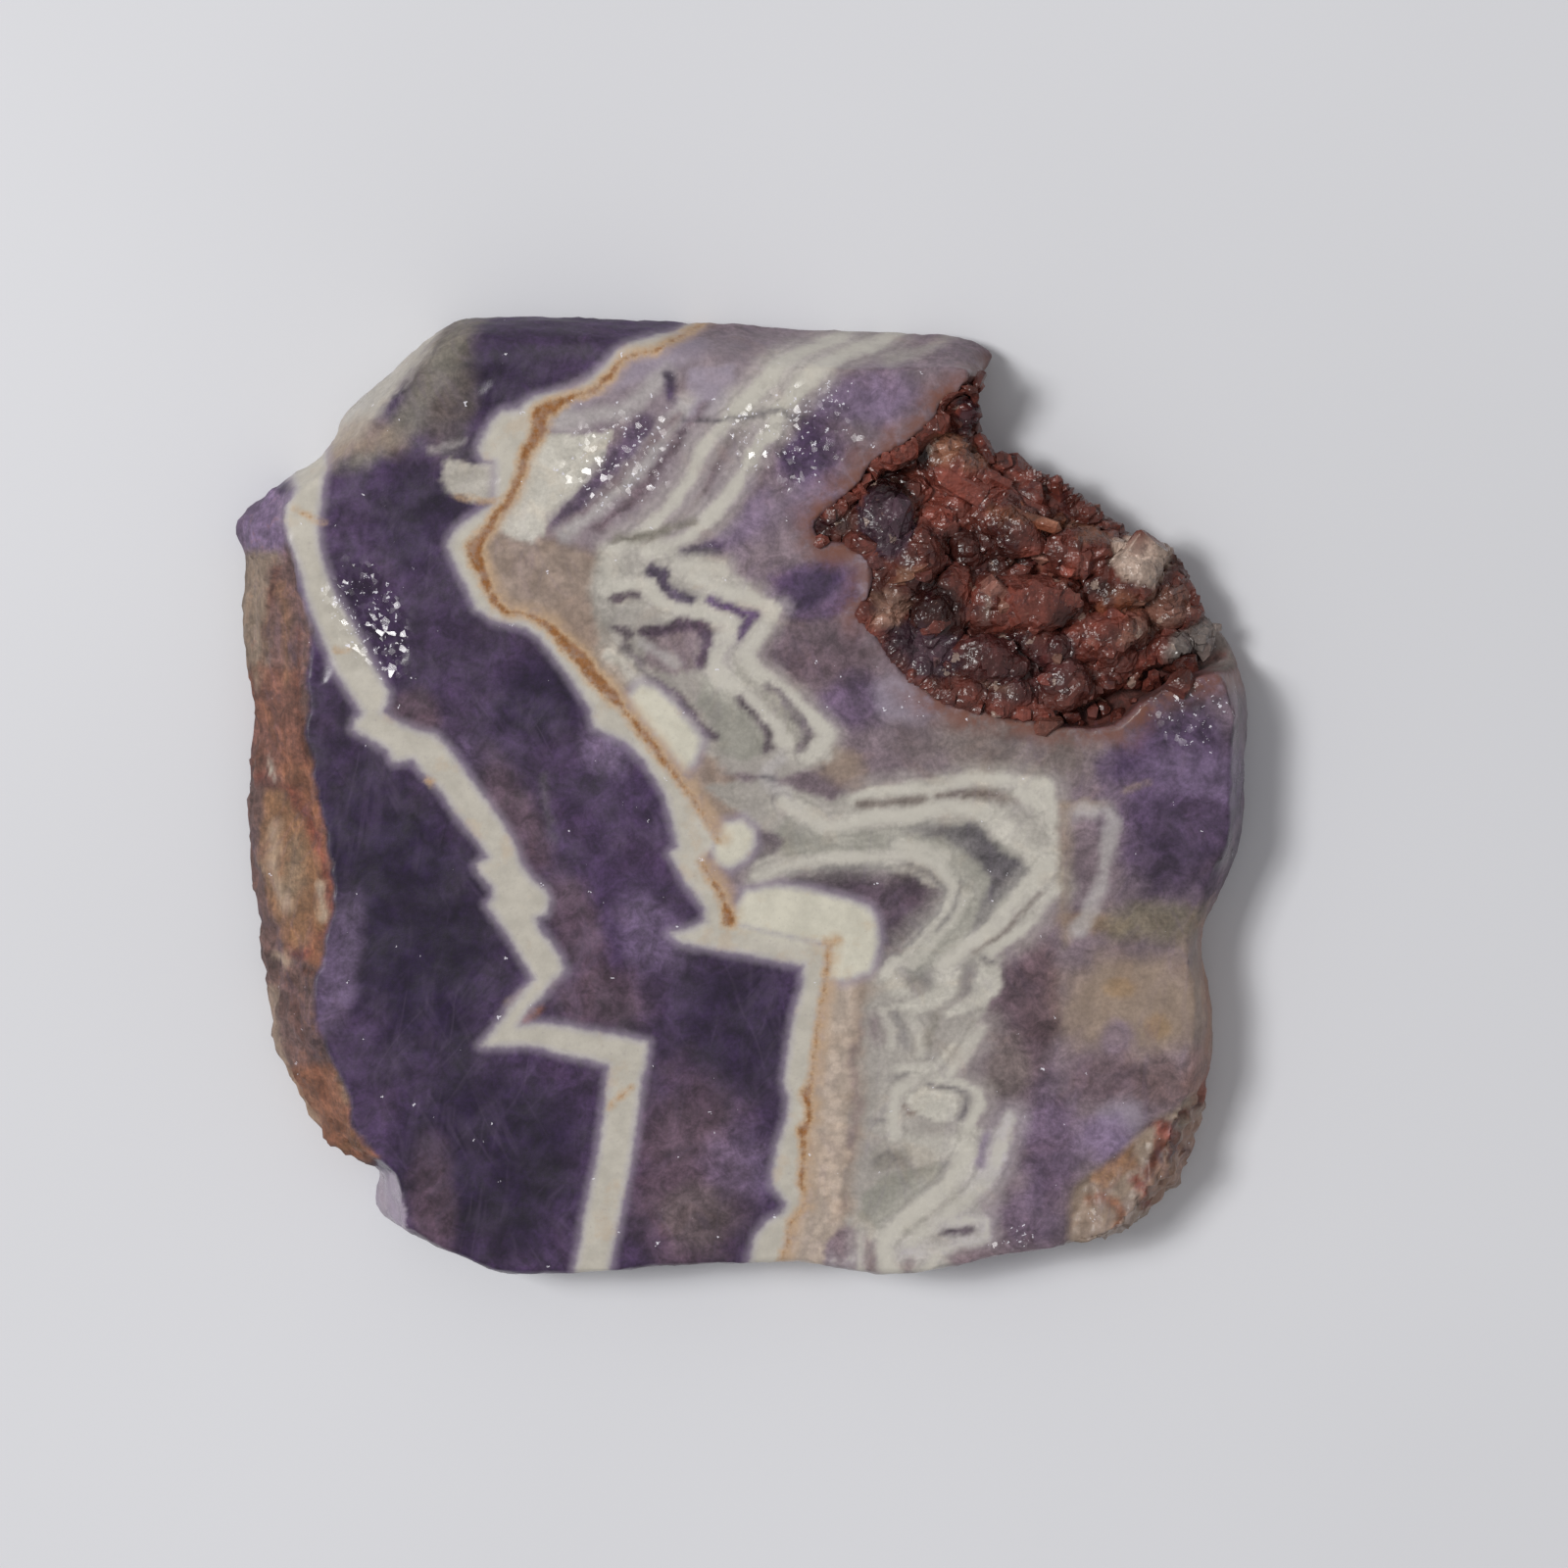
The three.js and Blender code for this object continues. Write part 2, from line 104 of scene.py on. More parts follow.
# Colours as they look in soft light, red green blue of 255, and what each is for.
PALETTE = {
    "deep_purple": ((45, 36, 56), "Darkest amethyst"),
    "dusky_purple": ((69, 56, 80), "Most of the dark amethyst"),
    "purple": ((93, 76, 103), "Lighter amethyst"),
    "brown_purple": ((98, 80, 88), "Amethyst clouded with iron"),
    "lilac": ((117, 101, 128), "Cloudy amethyst"),
    "pale_lilac": ((148, 138, 152), "Haze beside the white bands"),
    "milky": ((168, 163, 162), "Greyish white quartz"),
    "grey_green": ((138, 136, 128), "Clear quartz between the lace bands"),
    "smoky": ((118, 108, 103), "Brownish grey quartz"),
    "pink_beige": ((148, 131, 119), "Pale ground right of the rust line"),
    "pink_cream": ((178, 163, 150), "Knobbly ground beside the lower rust line"),
    "tan": ((144, 127, 113), "Iron-tinted quartz"),
    "olive": ((116, 108, 94), "Clear quartz over a dark ground"),
    "iron_orange": ((142, 94, 68), "Brightest stain on the skin"),
    "iron_red": ((114, 78, 68), "Red-brown stain"),
    "iron_yellow": ((150, 122, 88), "Yellowish stain"),
    "maroon": ((88, 54, 46), "Dark stain in the hollow"),
    "cream": ((192, 188, 174), "The opaque cream veins"),
    "vein": ((177, 172, 162), "The duller of the cream veins"),
    "lace_white": ((184, 180, 171), "The fine light bands"),
    "pale_lace": ((180, 174, 178), "Light bands with a lilac cast"),
    "lace_grey": ((156, 151, 145), "The ground between the light bands"),
    "lilac_grey": ((136, 124, 131), "The ground of the upper bands"),
    "mauve": ((122, 106, 112), "Pinkish clouds in the lace"),
    "dusky_mauve": ((84, 71, 82), "Dark warm amethyst inside the lace"),
    "slate": ((92, 87, 93), "Clear quartz over a dark ground"),
    "olive_grey": ((119, 114, 105), "Darker clear quartz in the lace"),
    "skin_grey": ((132, 117, 104), "Greyish tan skin"),
    "skin_mauve": ((104, 83, 80), "Dark mauve skin"),
    "skin_red": ((116, 82, 72), "Red-brown skin"),
    "skin_orange": ((136, 94, 74), "Brightest iron stain"),
    "skin_yellow": ((132, 100, 77), "Ochre skin"),
    "skin_pale": ((166, 148, 130), "Worn light patches"),
    "crust_dark": ((62, 46, 50), "Clear crystal over the dark floor of the hollow"),
    "crust_slate": ((74, 60, 68), "Clear grey crystal in the hollow"),
    # Painted shade: the dark laid into the crust's deep cracks and crevices and under its crystals.
    "crust_crack_shade": ((50, 36, 36), "The deep cracks of the crust"),
    "crust_brown": ((94, 58, 53), "Most of the stained crystals"),
    "crust_red": ((120, 70, 62), "Stained crystals that catch the light"),
    "crust_tan": ((138, 100, 82), "Yellowish lumps"),
    "crust_pink": ((146, 114, 100), "Thinly stained crystals"),
    # This colour is also laid as painted highlight: the lit end edge of the big prism and the crust's glints.
    "crust_pale_and_highlight": ((166, 147, 135), "Clean crystals by the rim"),
    "crust_grey": ((122, 114, 110), "Clear crystals by the rim"),
    "rust": ((134, 90, 52), "The thin iron line"),
    "ochre": ((176, 149, 120), "The stain that fades out from the rust line"),
}

# The cream vein on the left, from the top edge down: its left side, then its right side.
VEIN_ONE_LEFT = [
    (-49.5, 39.5), (-45.2, 32.2), (-46.1, 30.6), (-46.5, 29.1), (-46, 27.3), (-45.2, 25.1), (-44.6, 23.1),
    (-44.3, 21.5), (-43.6, 19.3), (-42.9, 17.5), (-42.1, 15.5), (-41.4, 13.7), (-40.3, 11.9), (-39.2, 10.3),
    (-38.6, 9.2), (-39.4, 8.3), (-39.6, 7.6), (-38.7, 7.1), (-37.1, 6.1), (-36, 5.4), (-35.6, 4.2),
    (-34.4, 4.3), (-33.5, 4.5), (-32.6, 3.2), (-31.3, 2), (-30.2, 0.5), (-29.1, -1.3), (-27.9, -2.7),
    (-26.8, -4), (-25.9, -5.6), (-27.1, -6.5), (-26.5, -7.6), (-25.5, -8.8), (-25.4, -9.9), (-26.1, -10.6),
    (-25.1, -11.9), (-23.9, -13.7), (-22.8, -15.7), (-21.9, -17.1), (-21.3, -18.3), (-22.5, -19.7),
    (-23.9, -21.4), (-25.4, -23.5), (-26.8, -25.2), (-25.1, -25.3), (-23, -25.2), (-21, -25.3),
    (-18.7, -26), (-15.9, -26.6), (-13.7, -27.2), (-13.8, -28.9), (-14.1, -31.5), (-14.8, -36.7),
    (-15.6, -40.2), (-16.3, -43.4), (-16.7, -46.2), (-17.3, -49.1), (-18.4, -55),
]
VEIN_ONE_RIGHT = [
    (-43.5, 41), (-42.1, 34.5), (-42.5, 32.5), (-42.7, 30.7), (-43, 28.5), (-42.9, 26.4), (-42.5, 24.6),
    (-42, 23.1), (-41.4, 21.4), (-40.3, 19.5), (-39.4, 17.7), (-38.6, 16.4), (-37.8, 14.6), (-36.7, 12.6),
    (-36, 11.2), (-36.2, 10.1), (-36.7, 9.2), (-34.9, 8.1), (-33.1, 7.4), (-31.3, 6.9), (-30, 5.6),
    (-28.6, 3.6), (-27.3, 1.8), (-25.7, -0.4), (-24.3, -2.5), (-23.2, -4.5), (-22.8, -5.8), (-22.5, -6.7),
    (-21.3, -8.2), (-20.2, -9), (-19.7, -10.2), (-20.2, -11.6), (-21.2, -11.9), (-20.8, -13.1),
    (-19.9, -14.2), (-18.7, -16), (-18.2, -17.4), (-19.3, -18.3), (-20.4, -19.8), (-22, -21.6),
    (-23, -23.2), (-21, -22.9), (-18.2, -23.2), (-15.3, -23.8), (-13, -24.2), (-11.2, -24.5), (-9.7, -24.9),
    (-9.8, -26.6), (-10.4, -28.9), (-10.7, -31.5), (-11.4, -36.7), (-12.1, -40.2), (-12.7, -43.4),
    (-13.3, -46.2), (-13.8, -49.1), (-14.9, -55),
]

# The rust line in three stretches: x, y and width.
RUST_UPPER = [
    (-0.5, 53, 0.7), (-5, 48.8, 0.7), (-8.6, 46.1, 0.6), (-12, 45.4, 0.7), (-13.3, 43.6, 1),
    (-14.9, 42.1, 0.9), (-17.2, 41.4, 1), (-19.4, 40.3, 2), (-20.6, 39.6, 2), (-20.4, 38.3, 1.8),
    (-21.2, 36.8, 1.6), (-22.1, 35.2, 1.4), (-22.3, 33.8, 1.2), (-22.8, 32.5, 1.2), (-23.7, 30.7, 1.2),
    (-25, 29.4, 1.2), (-25.7, 28, 1.3), (-26.6, 26.9, 1.7), (-27.2, 26.1, 2), (-26.8, 24.6, 1.8),
    (-26.3, 23.5, 1.5), (-25.7, 21.7, 1.2), (-24.8, 20.3, 1.2), (-23.7, 19.4, 0.9), (-22, 19.3, 0.9),
    (-20.9, 18.9, 1.1), (-19.6, 18.1, 1.3), (-17.9, 16.2, 1.6), (-16.3, 14.8, 2), (-15.1, 12.9, 2),
    (-12.9, 10.7, 1.6), (-12, 9.5, 0.6), (-10.7, 8, 1.3), (-9.2, 6, 1.2), (-7.8, 4.1, 1), (-6.5, 2.4, 0.9),
    (-5.1, 0.5, 0.8), (-4, -1.3, 0.7), (-2.4, -4, 0.3),
]
RUST_MIDDLE = [
    (-4.2, -6.2, 0.7), (-3.3, -7.6, 0.8), (-2.4, -9, 0.9), (-1.9, -10.1, 1), (-1.5, -11.4, 1.3),
    (-1.3, -12.2, 1.7),
]
RUST_LOWER = [
    (8.9, -14.7, 0.5), (8.4, -19.3, 0.5), (7.6, -24.2, 0.5), (7.25, -27.6, 0.6), (7, -29.5, 0.9),
    (6.5, -30.4, 1.4), (7, -31.7, 0.9), (6.9, -33.2, 0.9), (6.2, -34, 1.4), (6.4, -36, 0.9),
    (6, -39.8, 0.9), (6.4, -40.3, 0.6), (6.2, -42.4, 0.6), (5, -43.7, 0.7), (4.7, -45.6, 0.6),
    (4, -48.2, 0.6), (3.2, -55, 0.6),
]
RUST_MARKS = [
    [(8.4, -14.4, 0.5), (10.1, -14.4, 0.4)],
    [(-45.2, 30, 0.25), (-44.5, 29.7, 0.3), (-43.6, 29.1, 0.35), (-42.3, 28.6, 0.25)],
    [(-41.4, 15.7, 0.2), (-40.7, 15.4, 0.25), (-40, 15.6, 0.2)],
    [(-32, 2.3, 0.5), (-31.8, 2.1, 0.5)],
    [(-29, 31.4, 0.2), (-26, 30.8, 0.3), (-24, 30.9, 0.3)],
    [(-11.3, -29.6, 0.3), (-12.4, -30.4, 0.5), (-13.6, -31.6, 0.3)],
]

# The cream vein left of the rust line: its left side from the top edge down.
VEIN_TWO_LEFT = [
    (-2.5, 53), (-6.6, 48.4), (-10.7, 47.2), (-12.4, 46.2), (-13.8, 44.6), (-15.6, 43), (-16.9, 42.1),
    (-19, 41.9), (-20.8, 41.4), (-21.9, 40.8), (-22.5, 40.1), (-24.3, 39.9), (-25.2, 39), (-26.1, 37.4),
    (-26.7, 36.1), (-26.1, 35.1), (-24.9, 34.9), (-25, 30.7), (-27.5, 29.1), (-29.1, 27.8), (-29.8, 26.4),
    (-29.3, 25.1), (-28.6, 23.5), (-27.7, 21.7), (-27, 20), (-25.1, 18.8), (-22, 18), (-20.6, 17.1),
    (-17.5, 13), (-15.3, 9.5), (-15.1, 7.8), (-11.7, 6.2), (-10, 4.4), (-8.9, 2.6), (-7.8, 0.8),
    (-7.4, -0.6), (-6.9, -2.8), (-6.5, -4.6), (-7.4, -5.3), (-6.7, -6.4), (-5.8, -8.2), (-4.7, -9.6),
    (-3.8, -11), (-3.8, -12.3), (-5.6, -13.2), (-7.4, -13.6), (-6.4, -14.4), (-4.9, -14.8), (-1.9, -15.3),
    (1.5, -15.9), (3.8, -16.4), (6.3, -16.9), (6.2, -19.1), (5.3, -22.2), (4.8, -25.7), (4.3, -29.1),
    (4.8, -30.5), (4.6, -33), (3.8, -35.2), (3.3, -37.8), (3.1, -39.8), (4.6, -41.7), (4.3, -42.7),
    (2.6, -43.7), (1.4, -45.2), (0.9, -47.1), (0.7, -48.3), (-0.4, -55),
]
WHITE_KNOB = [
    (-2, -2), (0.1, -1.7), (1.4, -2.8), (1.4, -4.6), (0.3, -6), (-1.2, -6.9), (-2.8, -6.4), (-3.1, -4.6),
]
CREAM_CORNER = [
    (-1.6, -12.6), (0.2, -9.1), (3.6, -8.5), (6.5, -8.8), (10.7, -9.9), (13, -10.8), (13.8, -11.9),
    (14.1, -14.2), (13.7, -16.4), (13.2, -17.6), (10.6, -18.6), (8.6, -18.4), (8.9, -14.9), (4, -13.9),
]
CREAM_SHOULDER = [
    (-11.7, 11), (-10.3, 12.4), (-8.7, 11.9), (-6.8, 10.2), (-5.3, 8.3), (-3.9, 6.5), (-4.6, 4.3),
    (-5.8, 2.9), (-7.7, 5.3), (-9.6, 7.6), (-11, 9.3),
]

# Where the weathered skin meets the sawn face, from the bottom up.
SKIN_EDGE = [
    (-37.2, -36.9), (-39, -35.6), (-40, -33.8), (-40.4, -31.6), (-41, -29.2), (-42.5, -26.3), (-44, -22.6),
    (-43.8, -18.3), (-42.4, -13.4), (-41.8, -8.7), (-42.5, -3.4), (-43.5, 1.6), (-44.6, 7.4), (-44.1, 12.9),
    (-43.8, 17.9), (-45.3, 23.2), (-45.9, 26.3), (-46.2, 28.8), (-46.3, 30.4), (-46.2, 31.6),
]
SKIN_OUTSIDE = [
    (-50.5, 34), (-60, 34), (-60, -42), (-40.5, -40.5),
]

# Where the hollow breaks the face, and the same outline closed past the slab's edge.
HOLLOW_EDGE = [
    (23.5, 42.6), (20.5, 41), (19.3, 39), (16.8, 36.7), (13.4, 34.9), (12, 32.6), (9.3, 30.3), (7.2, 28.4),
    (8, 26.8), (10.8, 26.6), (13, 25.2), (13.6, 23.2), (12.9, 20.9), (11.8, 19.1), (13.6, 17.6),
    (14.8, 15.6), (16.8, 13.2), (19.6, 11), (24, 9.4), (30.3, 8.2), (35.3, 7.4), (38.2, 8), (40.6, 10.2),
    (43.4, 11.8), (47, 13.1), (58, 15), (58, 36), (34, 50),
]

# Larger fields of one colour with a soft edge, as (colour, strength, softness, outline).
FIELDS = [
    ("lilac_grey", 0.85, 2, [(-20, 41), (-10, 46.5), (4, 49), (14, 50), (4, 39), (0, 31), (-6, 26),
        (-22, 26)]),
    ("pink_beige", 0.9, 1.6, [(-27, 26.5), (-24.6, 28.6), (-19, 27), (-14, 25.4), (-14, 21), (-12, 17.6),
        (-8.6, 14), (-5.6, 10), (-2.6, 6.8), (-1.6, 3), (0.6, 0.4), (-1, -2), (-4, -2), (-8.6, 5),
        (-13, 11), (-18.6, 17.4), (-24.6, 20.4)]),
    ("pink_cream", 0.95, 0.8, [(9, -17.6), (12.8, -17.6), (12.3, -21.4), (11.6, -25.3), (11.6, -30.4),
        (10.9, -33), (11.2, -36.8), (10.5, -39.4), (11.7, -41.4), (11, -43.7), (8.7, -45.5), (6, -55),
        (3, -55), (5, -42), (6.4, -30)]),
    ("lace_grey", 0.9, 1, [(-14.5, 26.4), (-9, 27), (-2, 25), (1, 21.8), (4, 20), (2, 16.6), (1, 14.6),
        (5.6, 11.4), (9.6, 7.4), (9, 4.6), (5, 2.6), (-1, 3), (-5, 6), (-9.6, 12.4), (-14.4, 16.4),
        (-15.4, 21)]),
    ("lace_grey", 0.9, 0.8, [(12.6, -18), (14.5, -17), (21, -16.2), (26.5, -16), (26.6, -18.5),
        (25.5, -20.5), (24, -23.5), (22.3, -26.5), (21.6, -28.5), (24, -29.5), (25, -30.5), (23.8, -33.5),
        (25.5, -34.5), (27, -32.6), (27.4, -36), (26, -39), (24, -41.5), (25.4, -43.2), (25.6, -46),
        (22, -47.5), (19, -52), (14.3, -52), (13.9, -46), (11, -44), (10.3, -41), (10.5, -38),
        (11.5, -36.5), (10.8, -33), (11.8, -30), (11.5, -27), (12.3, -24), (12, -21)]),
    ("lace_grey", 0.95, 0.7, [(-4, 1.6), (2, 2.4), (9, 0.4), (16, 2), (24, 3.4), (31.6, 2.4), (32.6, -4),
        (33, -8), (29, -13), (24, -17), (20, -17), (16.5, -20), (14.3, -18), (16, -15.5), (20, -11),
        (20.5, -9.3), (17, -7.5), (12, -6.8), (6, -7.3), (0.4, -8.6), (1.6, -5.4), (1.6, -2.6)]),
    ("grey_green", 0.9, 0.7, [(4.6, -1), (9, -2.8), (14, -2.8), (18, -2), (24, -2), (25, -3.4), (28, -5.5),
        (30.1, -7.3), (28, -9.4), (25.6, -12.6), (21, -15.8), (16.8, -19.4), (17, -16.4), (21, -11.6),
        (22, -9), (20, -6.2), (16, -5), (9.5, -5.2), (4.6, -5.8), (3.2, -3.4)]),
    ("slate", 0.9, 0.9, [(16, -2.8), (18, -2.1), (24.2, -2.2), (25, -3.6), (27, -5.2), (28.5, -5.9),
        (30.2, -7.3), (28.2, -9.2), (26.2, -10.6), (25.6, -12.6), (22.4, -15), (23.6, -12.5), (24.8, -10.2),
        (25.4, -8.2), (24.4, -6.4), (22.6, -4.8), (20.6, -3.8), (18, -3.4)]),
    ("dusky_mauve", 0.95, 0.5, [(3.6, -8.4), (5, -7.6), (9, -7.1), (13, -6.9), (16.5, -7.2), (18.3, -8.2),
        (20.4, -9.2), (19.8, -11.2), (18.3, -12.9), (16.3, -14.8), (15, -17), (14, -17.6), (13.8, -14),
        (14.1, -12.3), (13.4, -11), (10, -9.8), (6.5, -8.7)]),
    ("dusky_mauve", 0.8, 0.8, [(1.5, -2.8), (3.2, -3.2), (4.4, -3.9), (3.3, -5.5), (1.5, -6.2),
        (0.6, -6.9)]),
    ("lace_white", 0.85, 0.6, [(24, -0.3), (27, -0.6), (29.5, -1.6), (31.5, -1.8), (32.3, -3.5), (32.7, -6),
        (31.6, -7.4), (30.2, -7), (28.6, -5.3), (26.8, -4.7), (25.4, -3.2), (24.3, -1.9)]),
    ("lace_white", 0.8, 0.6, [(14.4, -18), (15, -17.2), (16.2, -18.4), (17.8, -20), (16, -20.4),
        (14.8, -19.6)]),
    ("lace_white", 0.95, 0.6, [(20, -17.2), (22, -17), (22.2, -19.2), (20.8, -20.8), (18.4, -22),
        (14.8, -21.3), (17, -20.6), (19.2, -19.6)]),
    ("lace_white", 0.95, 0.6, [(24.4, -16.8), (26.3, -17.2), (26.7, -19.4), (25, -20.8), (21.8, -22.3),
        (20.6, -21.9), (23.2, -20.2)]),
    ("lace_white", 0.75, 0.6, [(15.2, -27.4), (17, -27.1), (19.4, -26.9), (21, -25.4), (22.2, -25),
        (20.8, -27.3), (18.4, -28.7), (16, -28)]),
    ("lace_white", 1, 0.5, [(16.5, -30.2), (18.2, -29.7), (21, -29.9), (22.3, -31.2), (21.9, -33.1),
        (20.2, -33.2), (17.8, -32.2)]),
    ("lace_white", 0.6, 1.2, [(16.4, -34.6), (19.6, -34.4), (23.6, -34.8), (23.8, -36.6), (21, -37.5),
        (17.8, -37.7)]),
    ("olive_grey", 0.5, 0.9, [(13.4, -36.4), (17.2, -36), (17.6, -38), (13.4, -38.6)]),
    ("grey_green", 0.9, 0.8, [(12, -43.4), (12.6, -40.6), (14.4, -38.8), (17.4, -38), (20.9, -37.6),
        (20.6, -39.4), (18.4, -41.4), (15.4, -43.6), (14.2, -44.6)]),
    ("dusky_mauve", 0.9, 0.4, [(20.4, -44.9), (22.2, -44.4), (23.8, -44.5), (21.2, -45.5)]),
    ("grey_green", 0.9, 0.8, [(-4, 13), (-2.3, 12.7), (0, 10.8), (2, 8.8), (3, 7), (2.5, 5.2), (0, 4.2),
        (-2.5, 5.5), (-3, 8), (-4.5, 10)]),
    ("olive_grey", 0.75, 0.7, [(0.2, 14.2), (2.5, 12.2), (4.5, 10.2), (6.2, 8), (7.1, 6.6), (6.2, 5.4),
        (4.8, 6.4), (3.2, 9), (1, 11.5), (-1, 13.2)]),
    ("mauve", 0.85, 0.7, [(-9.6, 17.2), (-7.6, 17.6), (-4.6, 18.2), (-3.6, 16.6), (-4, 14.2), (-6.6, 13),
        (-10.2, 14.4)]),
    ("vein", 0.85, 0.6, [(-30.2, 34.9), (-23, 34.9), (-24, 30.5), (-27.3, 31), (-29.1, 31.5),
        (-30.4, 32.7)]),
    ("olive_grey", 0.8, 2.4, [(-42, 34), (-38, 36.6), (-35, 40), (-32, 44.4), (-29, 50), (-26, 50),
        (-29.6, 43), (-33, 38), (-38, 34.4)]),
    # Painted highlight: the rounded bevel at the top left is painted pale, for the broad soft sheen that lies
    # along it.
    ("vein", 0.85, 1.6, [(-45.6, 32.6), (-41, 35.2), (-38.2, 38), (-35.6, 41.2), (-33.4, 44.4), (-31, 48),
        (-30, 56), (-54, 44)]),
    ("pale_lilac", 0.9, 0.5, [(-38.6, -38.6), (-35.8, -38.8), (-34.8, -42), (-34.6, -45.8), (-39, -47)]),
    ("lace_white", 1, 0.4, [(-21.6, 37.2), (-18, 37.6), (-13.2, 37.9), (-13.6, 36), (-14.3, 33.9),
        (-15.8, 32.6), (-17.6, 30.9), (-19, 29), (-20.3, 27.6), (-21.5, 26.6), (-24.6, 27.8), (-23.4, 31),
        (-21.8, 34)]),
    ("pale_lilac", 0.8, 0.8, [(-5.4, 44.4), (-0.6, 44.6), (-0.8, 42), (-3, 39.4), (-5.6, 39.6)]),
    ("purple", 0.85, 1.2, [(2.7, 23.3), (4.6, 24.2), (9.6, 25), (12, 24.2), (12, 21.2), (9, 18.8),
        (3.9, 18.8), (2.3, 21.6)]),
    ("dusky_purple", 0.9, 1.2, [(3.6, 23), (6, 23.6), (9.6, 23.9), (10.3, 22.8), (8.8, 21.2), (7, 20),
        (4.8, 20), (3.4, 21.6)]),
]

